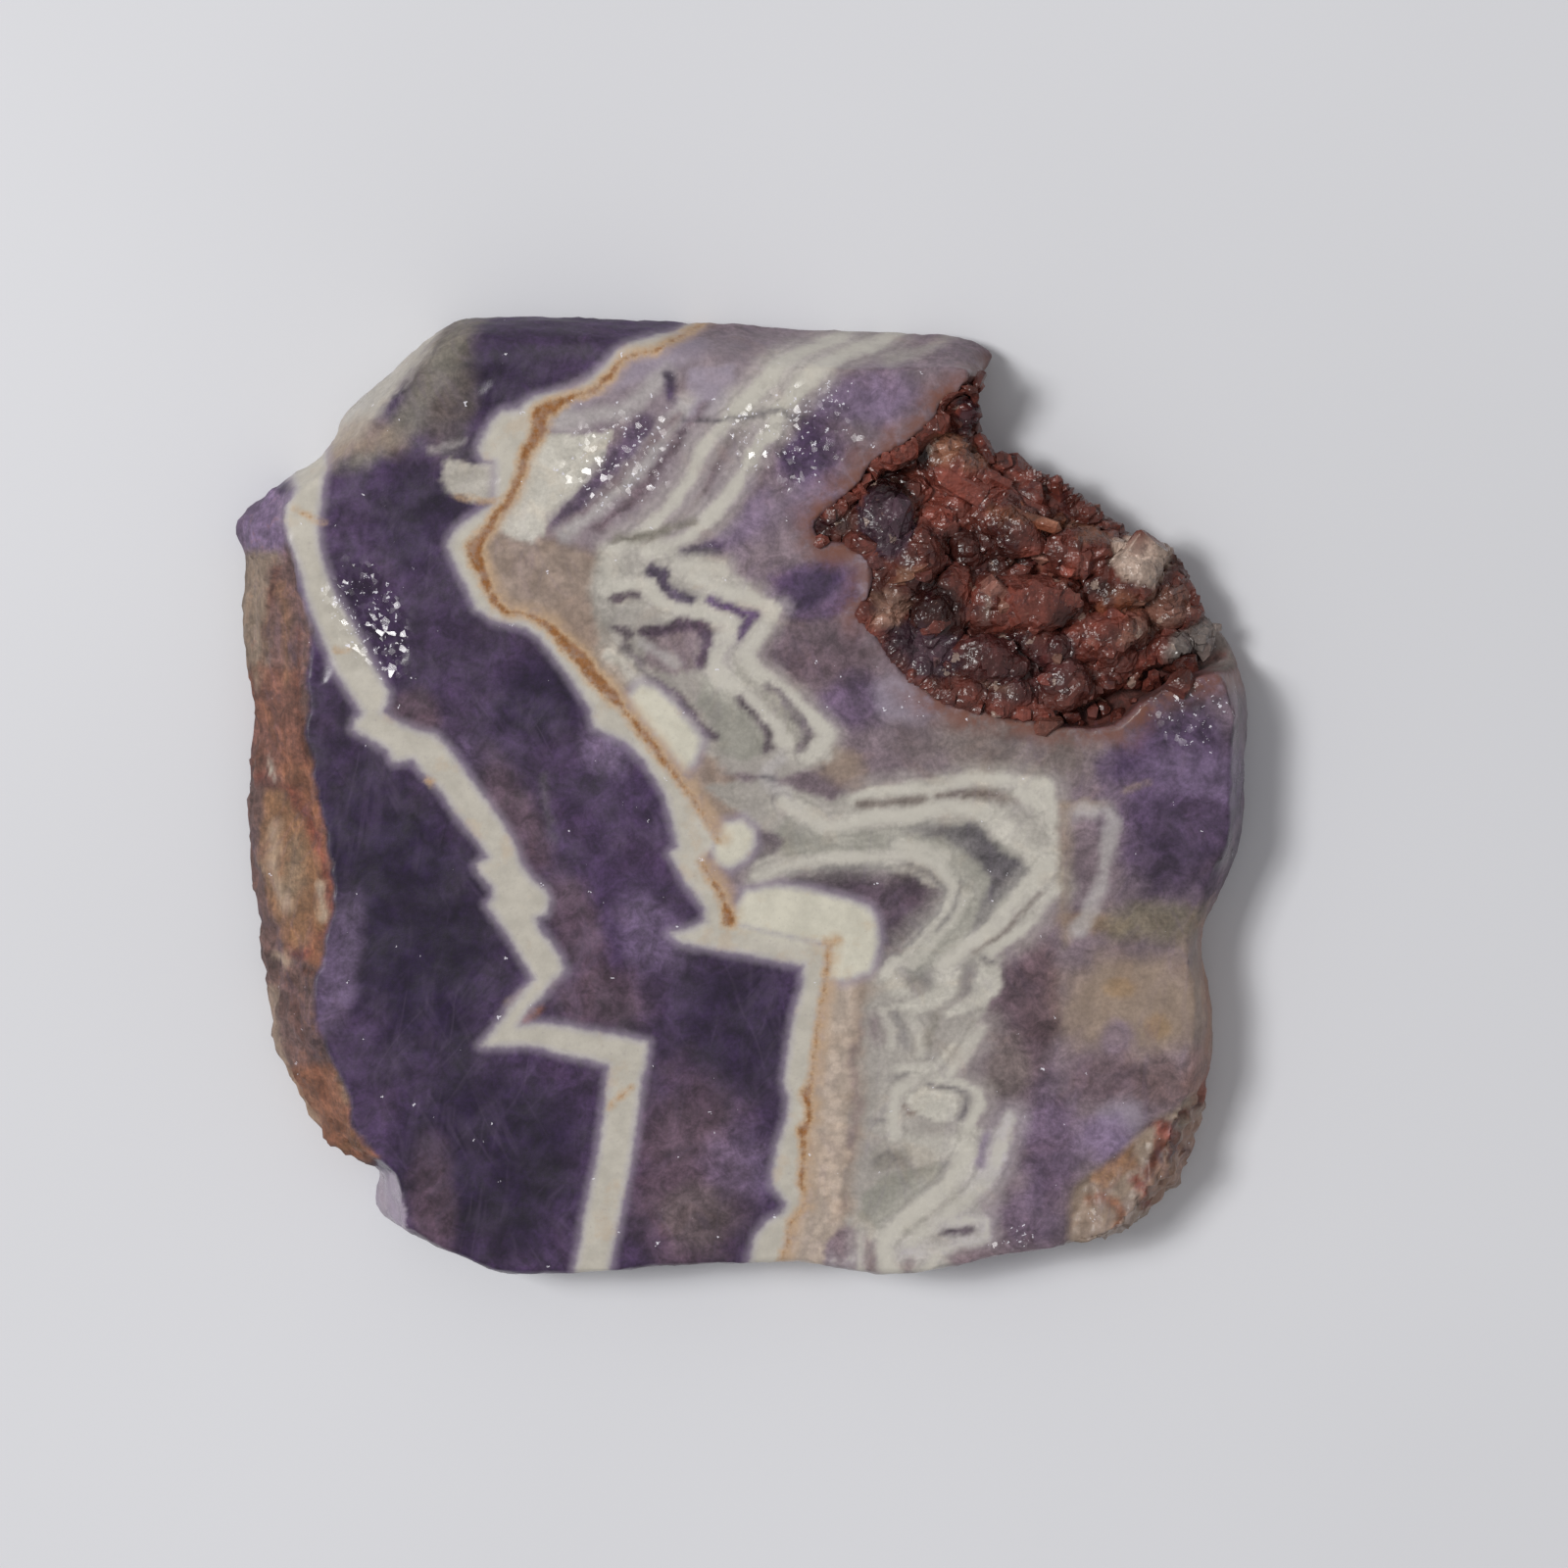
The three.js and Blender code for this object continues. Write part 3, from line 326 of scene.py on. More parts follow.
# The lace: soft bands laid over each other in this order, as (colour, strength, softness, width, points).
LACE = [
    ("tan", 0.7, 0.7, 0.9, [(-45.4, 33), (-42.2, 34.6), (-40.6, 36.2), (-38, 36.6)]),
    ("tan", 0.5, 1.2, 3, [(-41.6, 36.6), (-38.6, 38), (-35.6, 37)]),
    ("pink_beige", 0.9, 1, 3.4, [(50.4, -11.4), (51.4, -18), (50.6, -26)]),
    ("crust_pink", 0.7, 0.6, 1, [(47.4, -13), (48.4, -19), (48, -26)]),
    ("slate", 0.5, 0.4, 0.5, [(-33, 36.6), (-29.6, 36), (-26.6, 36.2)]),
    ("milky", 0.5, 0.4, 0.6, [(-31.6, 36), (-28, 37)]),
    ("pale_lilac", 0.7, 1, 2.4, [(-17, 41.4), (-12, 43.6), (-5, 46.6)]),
    ("milky", 0.75, 0.7, 1.8, [(-18.5, 39), (-12, 40), (-9, 42.5), (-7.5, 43.5)]),
    ("purple", 0.75, 0.8, 2, [(-9.6, 38.4), (-12.4, 35.6), (-15.6, 31.4), (-18.4, 28.8)]),
    ("milky", 0.85, 0.7, 1.7, [(-5.4, 41), (-7.4, 38.3), (-9.5, 35.5), (-12, 32.5), (-15, 30),
        (-18, 27.5)]),
    ("brown_purple", 0.7, 0.5, 0.7, [(-3.6, 40.4), (-6.2, 37.4), (-8.2, 34.6), (-11, 31), (-14.6, 28.2)]),
    ("mauve", 0.75, 0.5, 0.8, [(-6.4, 39.6), (-9, 37), (-11.6, 34), (-14.6, 31), (-17.4, 29)]),
    ("brown_purple", 0.8, 0.5, 0.9, [(1.6, 40.4), (-0.6, 37.6), (-2.4, 35), (-3.6, 32), (-6, 29.2),
        (-9.6, 27)]),
    ("brown_purple", 0.6, 0.6, 0.9, [(5.2, 38.6), (3.4, 35.8), (1.8, 32.6), (-0.8, 29.6), (-4, 27.2)]),
    ("dusky_purple", 0.9, 0.5, 1.3, [(-7.2, 41.6), (-7.3, 43.4)]),
    # Partly the band's own white and partly painted highlight: the glare of the polish is painted in at full
    # strength here.
    ("lace_white", 1, 0.5, 1.9, [(3.6, 44.4), (1.6, 42), (0, 40)]),
    ("lace_white", 0.85, 0.5, 1.5, [(13, 51), (9.6, 47.7), (6.2, 46.2), (3.6, 44.4)]),
    ("lace_white", 0.85, 0.5, 1.3, [(0, 40), (-2, 38.7), (-4, 36), (-5, 33.5), (-7, 30.5), (-9.5, 28),
        (-13, 25.8)]),
    # Partly the band's own white and partly painted highlight: the glare of the polish is painted in at full
    # strength here.
    ("lace_white", 1, 0.5, 2, [(7.6, 44.2), (5.6, 42.2), (3.8, 40)]),
    ("lace_white", 0.8, 0.5, 1.6, [(18, 50.6), (14, 47.2), (10.6, 46.2), (7.6, 44.2)]),
    ("lace_white", 0.9, 0.5, 1.4, [(3.8, 40), (3, 38), (1.5, 36), (0, 33.5), (-2, 30.5), (-4, 28.5),
        (-6.5, 26.7), (-9.5, 25.6)]),
    ("lace_grey", 0.6, 0.6, 1, [(24, 50), (19, 46.8), (15, 45.4)]),
    ("slate", 0.8, 0.3, 0.4, [(-6, 39.2), (-2, 39), (0, 39.3), (3.5, 40), (6.5, 39.2)]),
    ("olive_grey", 0.9, 0.4, 0.9, [(-13, 26.9), (-9, 27.4), (-5, 28.8)]),
    ("dusky_purple", 0.9, 0.4, 1.1, [(-6, 25.7), (-4, 26), (-2.4, 26.2)]),
    ("lace_white", 0.85, 0.4, 1.6, [(-6.2, 24.2), (-4.2, 24.2), (-2.2, 23.8)]),
    ("lace_white", 0.7, 0.4, 1.4, [(-13.6, 24.6), (-13.8, 21.6)]),
    ("iron_yellow", 0.7, 0.3, 0.3, [(-4.5, 22.3), (-2.5, 22.1)]),
    ("lace_grey", 0.8, 0.8, 2.8, [(-13.4, 19.9), (-11, 19.6), (-8.5, 19.6), (-6.5, 19.3)]),
    ("lace_white", 0.9, 0.4, 1.7, [(-12, 21.9), (-9.5, 22.2), (-8.3, 21.2), (-6, 20.1), (-3, 19.3),
        (-1, 18.5), (-0.8, 17.5), (-2.4, 16), (-3, 14.2), (-2, 12.7)]),
    ("lace_white", 0.9, 0.4, 1.5, [(-2.2, 13.1), (0.2, 11.2), (2.2, 9.2), (3.7, 7.5), (4.4, 6.2)]),
    ("lace_white", 0.9, 0.4, 1.4, [(-4.9, 23.2), (-2.5, 21.9), (0, 21.3), (2, 20.6), (3.4, 19.8),
        (2.4, 18.2), (1.5, 16.8), (0.4, 15.6), (0.8, 14.2), (3, 12.4)]),
    ("lace_white", 0.9, 0.4, 1.6, [(3, 12.3), (5, 10.6), (7, 8.6), (8.8, 7.4), (9, 6.6), (6.6, 5)]),
    ("purple", 1, 0.3, 1, [(-3.3, 20.7), (-1.5, 20.1), (0, 19.4), (1.4, 19.3), (0.2, 17.7), (-0.1, 17)]),
    ("dusky_purple", 0.9, 0.3, 1.3, [(-9.2, 23.8), (-8, 23.4), (-7.9, 22.1), (-7, 21.5), (-5, 20.9)]),
    ("dusky_mauve", 0.9, 0.3, 0.8, [(-13, 20.7), (-12, 21.2), (-10.6, 21.3)]),
    ("dusky_mauve", 0.8, 0.3, 0.8, [(-12.6, 17.8), (-11.5, 17.2)]),
    ("dusky_mauve", 1, 0.35, 1.2, [(-9.8, 17.4), (-8, 17.6), (-5.5, 18.3), (-4.2, 18.1), (-3.6, 17),
        (-3.8, 15.5), (-4.2, 14.2)]),
    ("milky", 0.8, 0.4, 1, [(-10.2, 16.3), (-8, 15.2), (-6.5, 14)]),
    ("dusky_mauve", 0.9, 0.3, 1, [(-11.8, 15.8), (-10.5, 14.5), (-10, 13.2), (-8.3, 12.2), (-6.5, 10.9),
        (-5, 8.9), (-3.9, 7.6), (-3, 6.8)]),
    ("lace_white", 0.85, 0.4, 1.3, [(-13.5, 15), (-12.2, 14.4), (-11.6, 13.2), (-10.6, 12.6)]),
    ("dusky_mauve", 0.85, 0.4, 1, [(-0.2, 10.7), (1.6, 8.6), (2.8, 6.9), (2.7, 5.6)]),
    ("dusky_mauve", 0.7, 0.4, 0.9, [(2.7, 12.1), (5, 9.9), (7.1, 6.9), (6, 5.6)]),
    ("milky", 0.8, 0.4, 1.2, [(4, 4.6), (2.4, 3.2), (2.8, 2), (4.4, 0.6)]),
    ("slate", 0.7, 0.3, 0.5, [(2, 2.6), (3.2, 2.4)]),
    ("slate", 0.9, 0.3, 0.7, [(3.4, 0.4), (4.8, -0.1)]),
    ("slate", 0.8, 0.3, 0.5, [(4.8, -7.3), (8, -6.8), (13, -6.6), (16, -6.9), (18.2, -7.9)]),
    ("lace_white", 0.8, 0.6, 1.1, [(14.6, -17.6), (17.2, -14.8), (20, -12), (21.4, -10.2), (21.7, -8.6),
        (20, -6.4), (17.6, -5.4), (14, -5.7), (9.5, -5.6), (5, -6.4), (1.6, -7.7)]),
    ("lace_white", 0.5, 0.9, 1.6, [(16, -4.4), (18.8, -4.7), (20.6, -5.6)]),
    ("lace_white", 0.55, 0.6, 1.2, [(22.8, -9.6), (21.6, -12), (19.4, -14.6), (17.4, -16.8)]),
    ("slate", 0.6, 0.35, 0.5, [(16.6, -6.3), (19.4, -7.6), (20.8, -9.4), (20.4, -11), (18.4, -13.2),
        (16, -15.8)]),
    ("slate", 0.5, 0.35, 0.5, [(22.4, -8.2), (21.9, -10.8), (20, -13.2)]),
    ("lace_white", 1, 0.45, 1.3, [(4.4, -0.2), (5.5, -0.8), (7.5, -1.9), (9.2, -2.5), (12, -1.9),
        (14, -1.4), (16.5, -1.5), (19, -0.8), (21.5, -0.5), (24.5, -0.9)]),
    ("lace_white", 0.95, 0.45, 1.1, [(11.5, 0.2), (14, 1.1), (16.5, 1.5), (19.5, 1.4), (22, 2.1),
        (24.5, 2.6), (27, 2.4), (29.5, 2), (31.2, 1.7), (31.6, 0), (31.9, -1.6)]),
    ("smoky", 0.9, 0.4, 0.9, [(12, -0.2), (15, 0.1), (18.4, 0.3)]),
    ("smoky", 1, 0.4, 0.9, [(20, 0.7), (23, 1), (26, 0.7), (28, 0.3)]),
    ("lace_white", 1, 0.4, 1.5, [(28.8, 0.9), (30, -0.2)]),
    ("lace_grey", 0.7, 0.7, 1.6, [(27.8, -1.2), (30, -2.4), (31, -4)]),
    ("lace_white", 0.95, 0.45, 1.6, [(31.2, -6.6), (29.6, -8.3), (27.8, -10.1), (26.5, -11.8),
        (25.5, -13.2), (24, -14.2), (22, -15.6), (20.8, -16.6)]),
    ("lace_white", 0.8, 0.5, 1.1, [(32.5, -8.8), (31.2, -10.1), (30, -12), (28.8, -13.2), (27, -14.4),
        (25.5, -15.6)]),
    ("smoky", 0.7, 0.35, 0.6, [(30.6, -9.4), (28.4, -11.6), (27.2, -13.2), (25.4, -14.6), (23.8, -15.6)]),
    ("slate", 0.7, 0.3, 0.5, [(24.8, -16.1), (25.5, -16.5)]),
    ("milky", 0.75, 0.6, 1.5, [(34.2, -0.8), (37.2, -0.7), (38, -2), (37.6, -4), (37, -6.5), (36.8, -8.4),
        (36, -10.4), (35.4, -11.8), (34.3, -13)]),
    ("slate", 0.4, 0.8, 1.6, [(17.2, -18), (19.2, -18.2)]),
    ("slate", 0.35, 0.6, 1, [(23.3, -16.9), (22.8, -19.4)]),
    ("lace_white", 0.5, 0.5, 0.9, [(14.4, -21.6), (15.2, -23.4), (15.4, -25.2)]),
    ("mauve", 0.7, 0.8, 1.4, [(13.4, -22.4), (13.8, -24.2)]),
    ("slate", 0.65, 0.5, 1.1, [(15.6, -22), (16.5, -23), (16.9, -25)]),
    ("lace_white", 0.8, 0.4, 0.7, [(17.3, -22.4), (18.2, -24), (18.3, -26)]),
    ("olive_grey", 0.6, 0.6, 0.9, [(19.8, -22.4), (19.4, -24), (19, -25)]),
    ("lace_white", 0.75, 0.6, 1.3, [(24.8, -23.4), (23.6, -25), (22.5, -26.8), (21.2, -28.2)]),
    ("slate", 0.7, 0.3, 0.4, [(15.2, -28.8), (17, -28.2)]),
    ("lace_white", 0.6, 0.6, 1.4, [(17.4, -29), (15.8, -30), (15.6, -32), (15.6, -34.6)]),
    ("lace_white", 0.9, 0.4, 0.9, [(20, -28.9), (22.4, -29.2), (24.4, -30.2), (24.6, -31.4),
        (23.2, -33.8)]),
    ("slate", 0.7, 0.4, 0.6, [(19.2, -29.4), (22, -29.8), (23.2, -30.3), (23.1, -31.6), (22.6, -32.8)]),
    ("maroon", 0.5, 0.3, 0.5, [(16.6, -31.5), (17.4, -32.3)]),
    ("slate", 0.5, 0.3, 0.35, [(12.8, -33.3), (15, -32.9)]),
    ("slate", 0.4, 0.4, 0.5, [(13.6, -37.4), (15, -36.4), (16.6, -37.6)]),
    ("slate", 0.9, 0.5, 0.7, [(20.8, -37.7), (20.2, -39.6), (18.4, -41.1), (16.4, -42.6), (14.7, -44.2)]),
    ("lace_white", 1, 0.6, 1.9, [(23.2, -36.2), (22.4, -38.4), (20.9, -40.2), (18.7, -42), (16.6, -43.7),
        (15, -45.1), (14.7, -47), (15.3, -49.2), (15.6, -54)]),
    ("olive_grey", 0.4, 0.5, 0.6, [(24, -39), (22.2, -41), (19.6, -42.8), (17.2, -44.4), (15.9, -46)]),
    ("pale_lace", 0.95, 0.5, 1.5, [(27.5, -32.8), (26.7, -35.6), (25.9, -38), (24.4, -40.2)]),
    ("lace_white", 0.7, 0.7, 1.5, [(24.4, -40.2), (22.6, -41.8), (20.4, -43.4), (18.4, -45),
        (17.2, -46.2)]),
    ("lilac", 0.7, 0.5, 0.9, [(25, -34.8), (24.6, -37.6)]),
    ("pale_lace", 0.9, 0.4, 0.8, [(21.2, -43.8), (23.6, -43.5), (25.1, -43.6), (25.4, -45.2), (22.6, -46.1),
        (19.8, -46.9), (16.8, -46.9)]),
    ("dusky_mauve", 0.8, 0.3, 0.5, [(20.8, -45), (22.2, -44.6), (23.6, -44.5)]),
    ("lace_white", 0.8, 0.5, 1, [(20, -47.2), (18.9, -49), (18.6, -54)]),
    ("lace_white", 0.6, 0.5, 0.9, [(12.2, -45.2), (12.2, -49)]),
    ("pale_lace", 0.7, 0.3, 0.4, [(9.4, -47.8), (11.6, -47.5)]),
    ("mauve", 0.7, 0.5, 1.2, [(17.1, -48.2), (17, -54)]),
    ("mauve", 0.8, 0.6, 1.5, [(22, -47.6), (25, -47.2)]),
    ("mauve", 0.7, 0.5, 1.2, [(10, -45.6), (10.2, -47.4)]),
    ("mauve", 0.7, 0.5, 0.8, [(13.2, -46.2), (13.2, -54)]),
    ("pink_beige", 0.7, 0.8, 1.4, [(12.7, -18), (11.9, -22), (11.5, -27), (11.9, -32), (11.2, -37),
        (10.6, -42)]),
    ("mauve", 0.45, 0.5, 0.7, [(11.4, -25.6), (11.3, -28.4), (12, -31.6), (11, -35.6)]),
    ("slate", 0.6, 0.3, 0.4, [(7.9, 3.6), (8.4, 3.4)]),
    ("slate", 0.6, 0.4, 0.5, [(-30, 35.6), (-28, 35.5), (-26, 35.7)]),
    ("iron_orange", 0.7, 0.4, 0.7, [(-22.5, -22.4), (-20.8, -21.5)]),
    ("tan", 0.7, 0.5, 0.8, [(-24, -21), (-21.6, -19.6), (-19, -18)]),
    ("slate", 0.6, 0.4, 0.6, [(-20.3, 2.9), (-20.1, -0.4), (-19.2, -3.8)]),
    ("tan", 0.6, 0.4, 0.5, [(41.6, 2.1), (39, 1.1)]),
    ("tan", 0.6, 0.7, 0.9, [(32.9, -0.4), (32.8, -8), (33.2, -14)]),
]

# Soft spots of colour, as (colour, strength, lowest x, highest x, lowest y, highest y, turn in degrees).
SPOTS = [
    ("deep_purple", 0.9, -44, -26, -30, 6, 20),
    ("deep_purple", 0.8, -36, -17, -48, -27, 0),
    ("dusky_purple", 0.6, -42, -34, 18, 34, 0),
    ("deep_purple", 0.6, -38, -28, 24, 35, 0),
    ("deep_purple", 0.75, -25.6, -14.6, 7, 15, 35),
    ("deep_purple", 0.5, -30, -20, 40, 48, 0),
    ("olive", 0.55, -33, -27, 36, 50, 0),
    ("brown_purple", 0.7, -36, -30.4, 6.5, 11.5, 0),
    ("lilac", 0.35, -31, -25.5, 0, 8, 50),
    ("brown_purple", 0.7, -25.7, -20.5, -8, 5, 25),
    ("brown_purple", 0.6, -20, -14.6, -18, -6, 20),
    ("brown_purple", 0.6, -20, -9, -24, -17, 0),
    ("lilac", 0.75, -16.4, -11.5, 2.4, 7.9, 50),
    ("lilac", 0.45, -12.5, -6, -18, -9, 40),
    ("deep_purple", 0.6, -7.2, 5.6, -30, -16.4, 0),
    ("brown_purple", 0.7, -12, 1, -50, -28, 0),
    ("smoky", 0.35, -8.4, -1, -46.5, -39.5, 0),
    ("lilac", 0.45, -4, 3.6, -41.5, -33.5, 0),
    ("lilac", 0.55, -43.8, -39, -24, -9, -8),
    ("brown_purple", 0.5, -34.4, -29.4, -49, -35, 0),
    ("purple", 0.8, 1.6, 10.5, 32, 42, 20),
    ("dusky_purple", 0.7, 3, 8.6, 33.4, 39.6, 20),
    ("lilac", 0.7, 8, 18, 38.5, 44.4, 0),
    ("lilac", 0.6, -5, 4, 26, 34, 40),
    ("lilac", 0.4, 4, 12, 27, 33, 0),
    ("grey_green", 0.8, -15, -10.6, 22, 25.6, 0),
    ("pale_lilac", 0.6, 10.6, 14.2, 18.6, 25.4, 0),
    ("brown_purple", 0.65, 2, 14, 11.5, 19.4, 0),
    ("purple", 0.75, 7.4, 14.8, 7.2, 13.2, 20),
    ("pale_lilac", 0.7, 13.4, 20, 8.2, 13.4, -20),
    ("tan", 0.8, 7.2, 12.8, 1.6, 5.9, -30),
    ("smoky", 0.75, 18, 39, 1.8, 9.8, 0),
    ("brown_purple", 0.75, 12, 31, -1.2, 1.2, 0),
    ("smoky", 0.6, 32, 34, -14.5, 0.5, 0),
    ("iron_yellow", 0.4, 32, 37.6, -0.9, 0.3, 0),
    ("iron_yellow", 0.5, 32, 40, -13.3, -11.3, -5),
    ("dusky_purple", 0.85, 37.6, 53, -10.6, 12.4, 0),
    ("purple", 0.5, 38, 50, -9, 9, 0),
    ("lilac", 0.6, 41, 53, 0.2, 5.3, 0),
    ("deep_purple", 0.25, 40, 50, -9.8, 0, 0),
    ("dusky_purple", 0.7, 35.6, 40, 1.8, 6, 0),
    ("olive", 0.85, 36, 48, -14.6, -10.2, 0),
    ("tan", 0.9, 31.6, 50, -26.5, -15.5, 0),
    ("pink_beige", 0.6, 44.4, 53, -27, -12, 4),
    ("crust_pink", 0.6, 45.4, 50, -33, -25, 4),
    ("skin_mauve", 0.6, 40, 46.4, -32, -26, 0),
    ("pale_lilac", 0.7, 36.6, 41.4, -35.6, -30.4, 40),
    ("crust_brown", 0.35, 28.4, 32.6, -25, -14, 0),
    ("iron_yellow", 0.5, 37.2, 40.2, -20.3, -18.3, 0),
    ("iron_yellow", 0.5, 41, 44, -24.6, -22, 0),
    ("lilac", 0.5, 36.6, 40.4, -26.5, -22.5, 0),
    ("brown_purple", 0.8, 25, 32, -31, -15, 0),
    ("smoky", 0.6, 25, 29.7, -31, -24, 0),
    ("brown_purple", 0.6, 33.4, 41, -31.4, -25.6, 0),
    ("purple", 0.65, 28.6, 34.6, -42, -28.6, 0),
    ("lilac", 0.75, 34.4, 40.6, -37.4, -32.4, 0),
    ("purple", 0.5, 26, 34, -46.6, -40, 10),
]

# The weathered skin's own colours, as fields and then bands.
SKIN_FIELDS = [
    ("lilac", 0.95, 1.2, [(-54, 26), (-46.6, 25.4), (-45.6, 34), (-52, 34)]),
    ("skin_grey", 0.9, 1.2, [(-54, 26), (-47, 26), (-48.2, 18), (-48.6, 12), (-54, 12)]),
    ("skin_mauve", 0.9, 1.2, [(-48, 25), (-44.6, 22), (-43.6, 12), (-48.6, 13)]),
    ("skin_red", 0.9, 1.4, [(-54, 14), (-45.4, 14), (-43.6, 4), (-54, 2)]),
    ("skin_orange", 0.9, 1.2, [(-47.6, 4), (-43.6, 4), (-41.6, -6), (-41.4, -16), (-45, -17)]),
    ("skin_yellow", 0.95, 0.9, [(-49.6, 1.2), (-47.4, 1.6), (-45.2, -1.4), (-43.6, -5), (-42.4, -9),
        (-42.4, -12.6), (-44, -14.6), (-46.8, -15.2), (-48.6, -12), (-49.6, -6)]),
    ("skin_mauve", 0.85, 1.2, [(-54, -15.6), (-44.6, -16.4), (-43.6, -22), (-42, -28), (-48, -28),
        (-54, -26)]),
    ("skin_orange", 0.85, 1.2, [(-48, -28), (-42, -27), (-39.6, -32), (-37, -37), (-42, -38)]),
]
SKIN_BANDS = [
    ("skin_grey", 0.7, 0.5, 0.8, [(-50.4, 22), (-49.4, 16), (-50, 12)]),
    ("maroon", 0.6, 0.4, 0.5, [(-47.6, 24), (-48.6, 18), (-49.4, 13.4)]),
    ("skin_yellow", 0.6, 0.5, 0.7, [(-47, 22), (-46.4, 17), (-46.8, 12)]),
    ("maroon", 0.5, 0.4, 0.5, [(-45.2, 18), (-45.4, 10), (-44.6, 4)]),
    ("skin_orange", 0.6, 0.5, 0.8, [(-49.6, 10), (-47, 6), (-45.2, 3)]),
    ("cream", 0.7, 0.3, 0.5, [(-48.6, 4.2), (-48.2, 2.4)]),
    ("crust_red", 0.8, 0.5, 0.8, [(-49.8, 2.4), (-46.6, 1.6), (-44.6, -1.6), (-43, -5.6), (-42, -9.6),
        (-42.2, -13.2), (-44.4, -15.6), (-47, -15.8)]),
    ("skin_pale", 0.7, 0.7, 1.2, [(-48.2, -2.6), (-48.4, -7), (-46.8, -10.6)]),
    ("skin_pale", 0.9, 0.5, 1, [(-43.2, -8.6), (-42.7, -11.8)]),
    ("olive", 0.5, 0.8, 1.6, [(-45.8, -4), (-46.2, -9)]),
    ("skin_orange", 0.9, 0.5, 1.4, [(-44, -13.4), (-43.4, -16.4)]),
    ("maroon", 0.7, 0.3, 0.4, [(-45, -17.4), (-44, -17.6)]),
    ("skin_pale", 0.7, 0.4, 1, [(-48.4, -16), (-47, -16.4)]),
    ("maroon", 0.4, 0.5, 0.6, [(-47, -18), (-46, -23), (-44.4, -27), (-43.2, -31)]),
    ("skin_pale", 0.6, 0.7, 1.2, [(-49, -20), (-48.6, -25), (-47, -30), (-44.6, -33.6)]),
    ("olive", 0.5, 0.5, 1, [(-43, -20), (-42.4, -26), (-40.4, -31)]),
    ("skin_yellow", 0.6, 0.5, 0.9, [(-40.6, -33.6), (-39.6, -35.8), (-41.6, -36.2)]),
]

# The rough corner's own colours, as fields and then bands.
CORNER_FIELDS = [
    ("pink_beige", 0.5, 2, [(33, -54), (33, -38), (40, -33), (50, -25), (56, -54)]),
    ("skin_yellow", 0.8, 0.8, [(35.4, -39.2), (38, -37), (40.2, -35.4), (41, -38), (37, -40.6)]),
    ("crust_pink", 0.7, 1, [(40.6, -38), (44, -37), (47.6, -32), (48, -38), (43, -43)]),
    ("pink_beige", 0.6, 1, [(33, -42.6), (38, -43), (41.6, -41.6), (41, -48), (33, -48)]),
]
CORNER_BANDS = [
    ("crust_red", 0.8, 0.8, 1.6, [(47.9, -27), (47.8, -31)]),
    ("maroon", 0.9, 0.4, 0.7, [(41.2, -33.6), (43, -33.4), (44, -34.6), (45.2, -33), (47.4, -31.6)]),
    ("crust_red", 0.9, 0.5, 1.5, [(43.4, -34.2), (44.4, -34.6)]),
    ("maroon", 0.95, 0.4, 1.1, [(43.1, -35.7), (42.6, -37.2), (41.6, -38.6)]),
    ("crust_brown", 0.9, 0.4, 1, [(44.2, -36.8), (45.4, -35.9), (46.2, -36.6)]),
    ("crust_red", 0.9, 0.4, 0.8, [(40.4, -39.4), (41.4, -40.8), (41.8, -42.2), (42.6, -42.8)]),
    ("skin_orange", 0.8, 0.5, 1, [(35.8, -41.4), (37.2, -41.2), (38.2, -42)]),
    ("skin_orange", 0.9, 0.4, 0.9, [(38.6, -42), (39.2, -43.4), (38.8, -44.6)]),
    ("skin_grey", 0.8, 0.5, 1, [(40.4, -36.4), (41.6, -35.4)]),
    ("skin_yellow", 0.9, 0.3, 0.5, [(38.8, -37.8), (39.4, -37.2)]),
    ("skin_yellow", 0.7, 0.6, 1.6, [(45, -38.6), (44.2, -40.2)]),
    ("crust_pale_and_highlight", 0.9, 0.4, 1, [(39.8, -44), (40.8, -43)]),
    ("crust_pale_and_highlight", 0.7, 0.5, 1, [(37.2, -44.2), (35.2, -42.8)]),
]

# Zones of broken crystal that sparkle, where the painted glints are laid, as (strength, lowest x, highest x,
# lowest y, highest y, turn).
SPARKLE_ZONES = [
    (1, -41.9, -34, 12.6, 25, 24),
    (0.9, -19, -6, 30, 40, 35),
    (0.7, -13, -5, 36.6, 40, 0),
    (1, -2, 12.6, 32.6, 43, 20),
    (0.8, 41, 50.4, 5, 13.4, 0),
    (0.9, 25.4, 31, -47.2, -44.2, 15),
    (0.6, 35, 37.8, -44.2, -42, 0),
    (0.5, 13.4, 20, 8.4, 11, 0),
    (0.4, 8.6, 11.6, 13, 15.4, 0),
    (0.2, -33, -12, 36, 47, 0),
]

# Lengths of the face's edge that are worn round.
WORN_EDGES = [
    [(-46.6, 30), (-42.5, 33.1), (-38.2, 37.4), (-34.3, 41.4), (-31.7, 45.1), (-29, 47)],
    [(-29, 47.6), (-20, 48), (-5, 48), (10, 47.6), (24, 47.4)],
    [(49, -9), (48.6, -13), (48.8, -20), (48.2, -26), (46.4, -30)],
]

# The rough broken corner at the lower right of the face.
BROKEN_CORNER = [
    (49.6, -26), (47.6, -29.8), (45, -31.6), (42.2, -33.2), (40.4, -34.9), (38.9, -36.6), (36.2, -38.4),
    (34.2, -40.1), (33.6, -43), (33.4, -52), (42, -52), (56, -46), (56, -26),
]

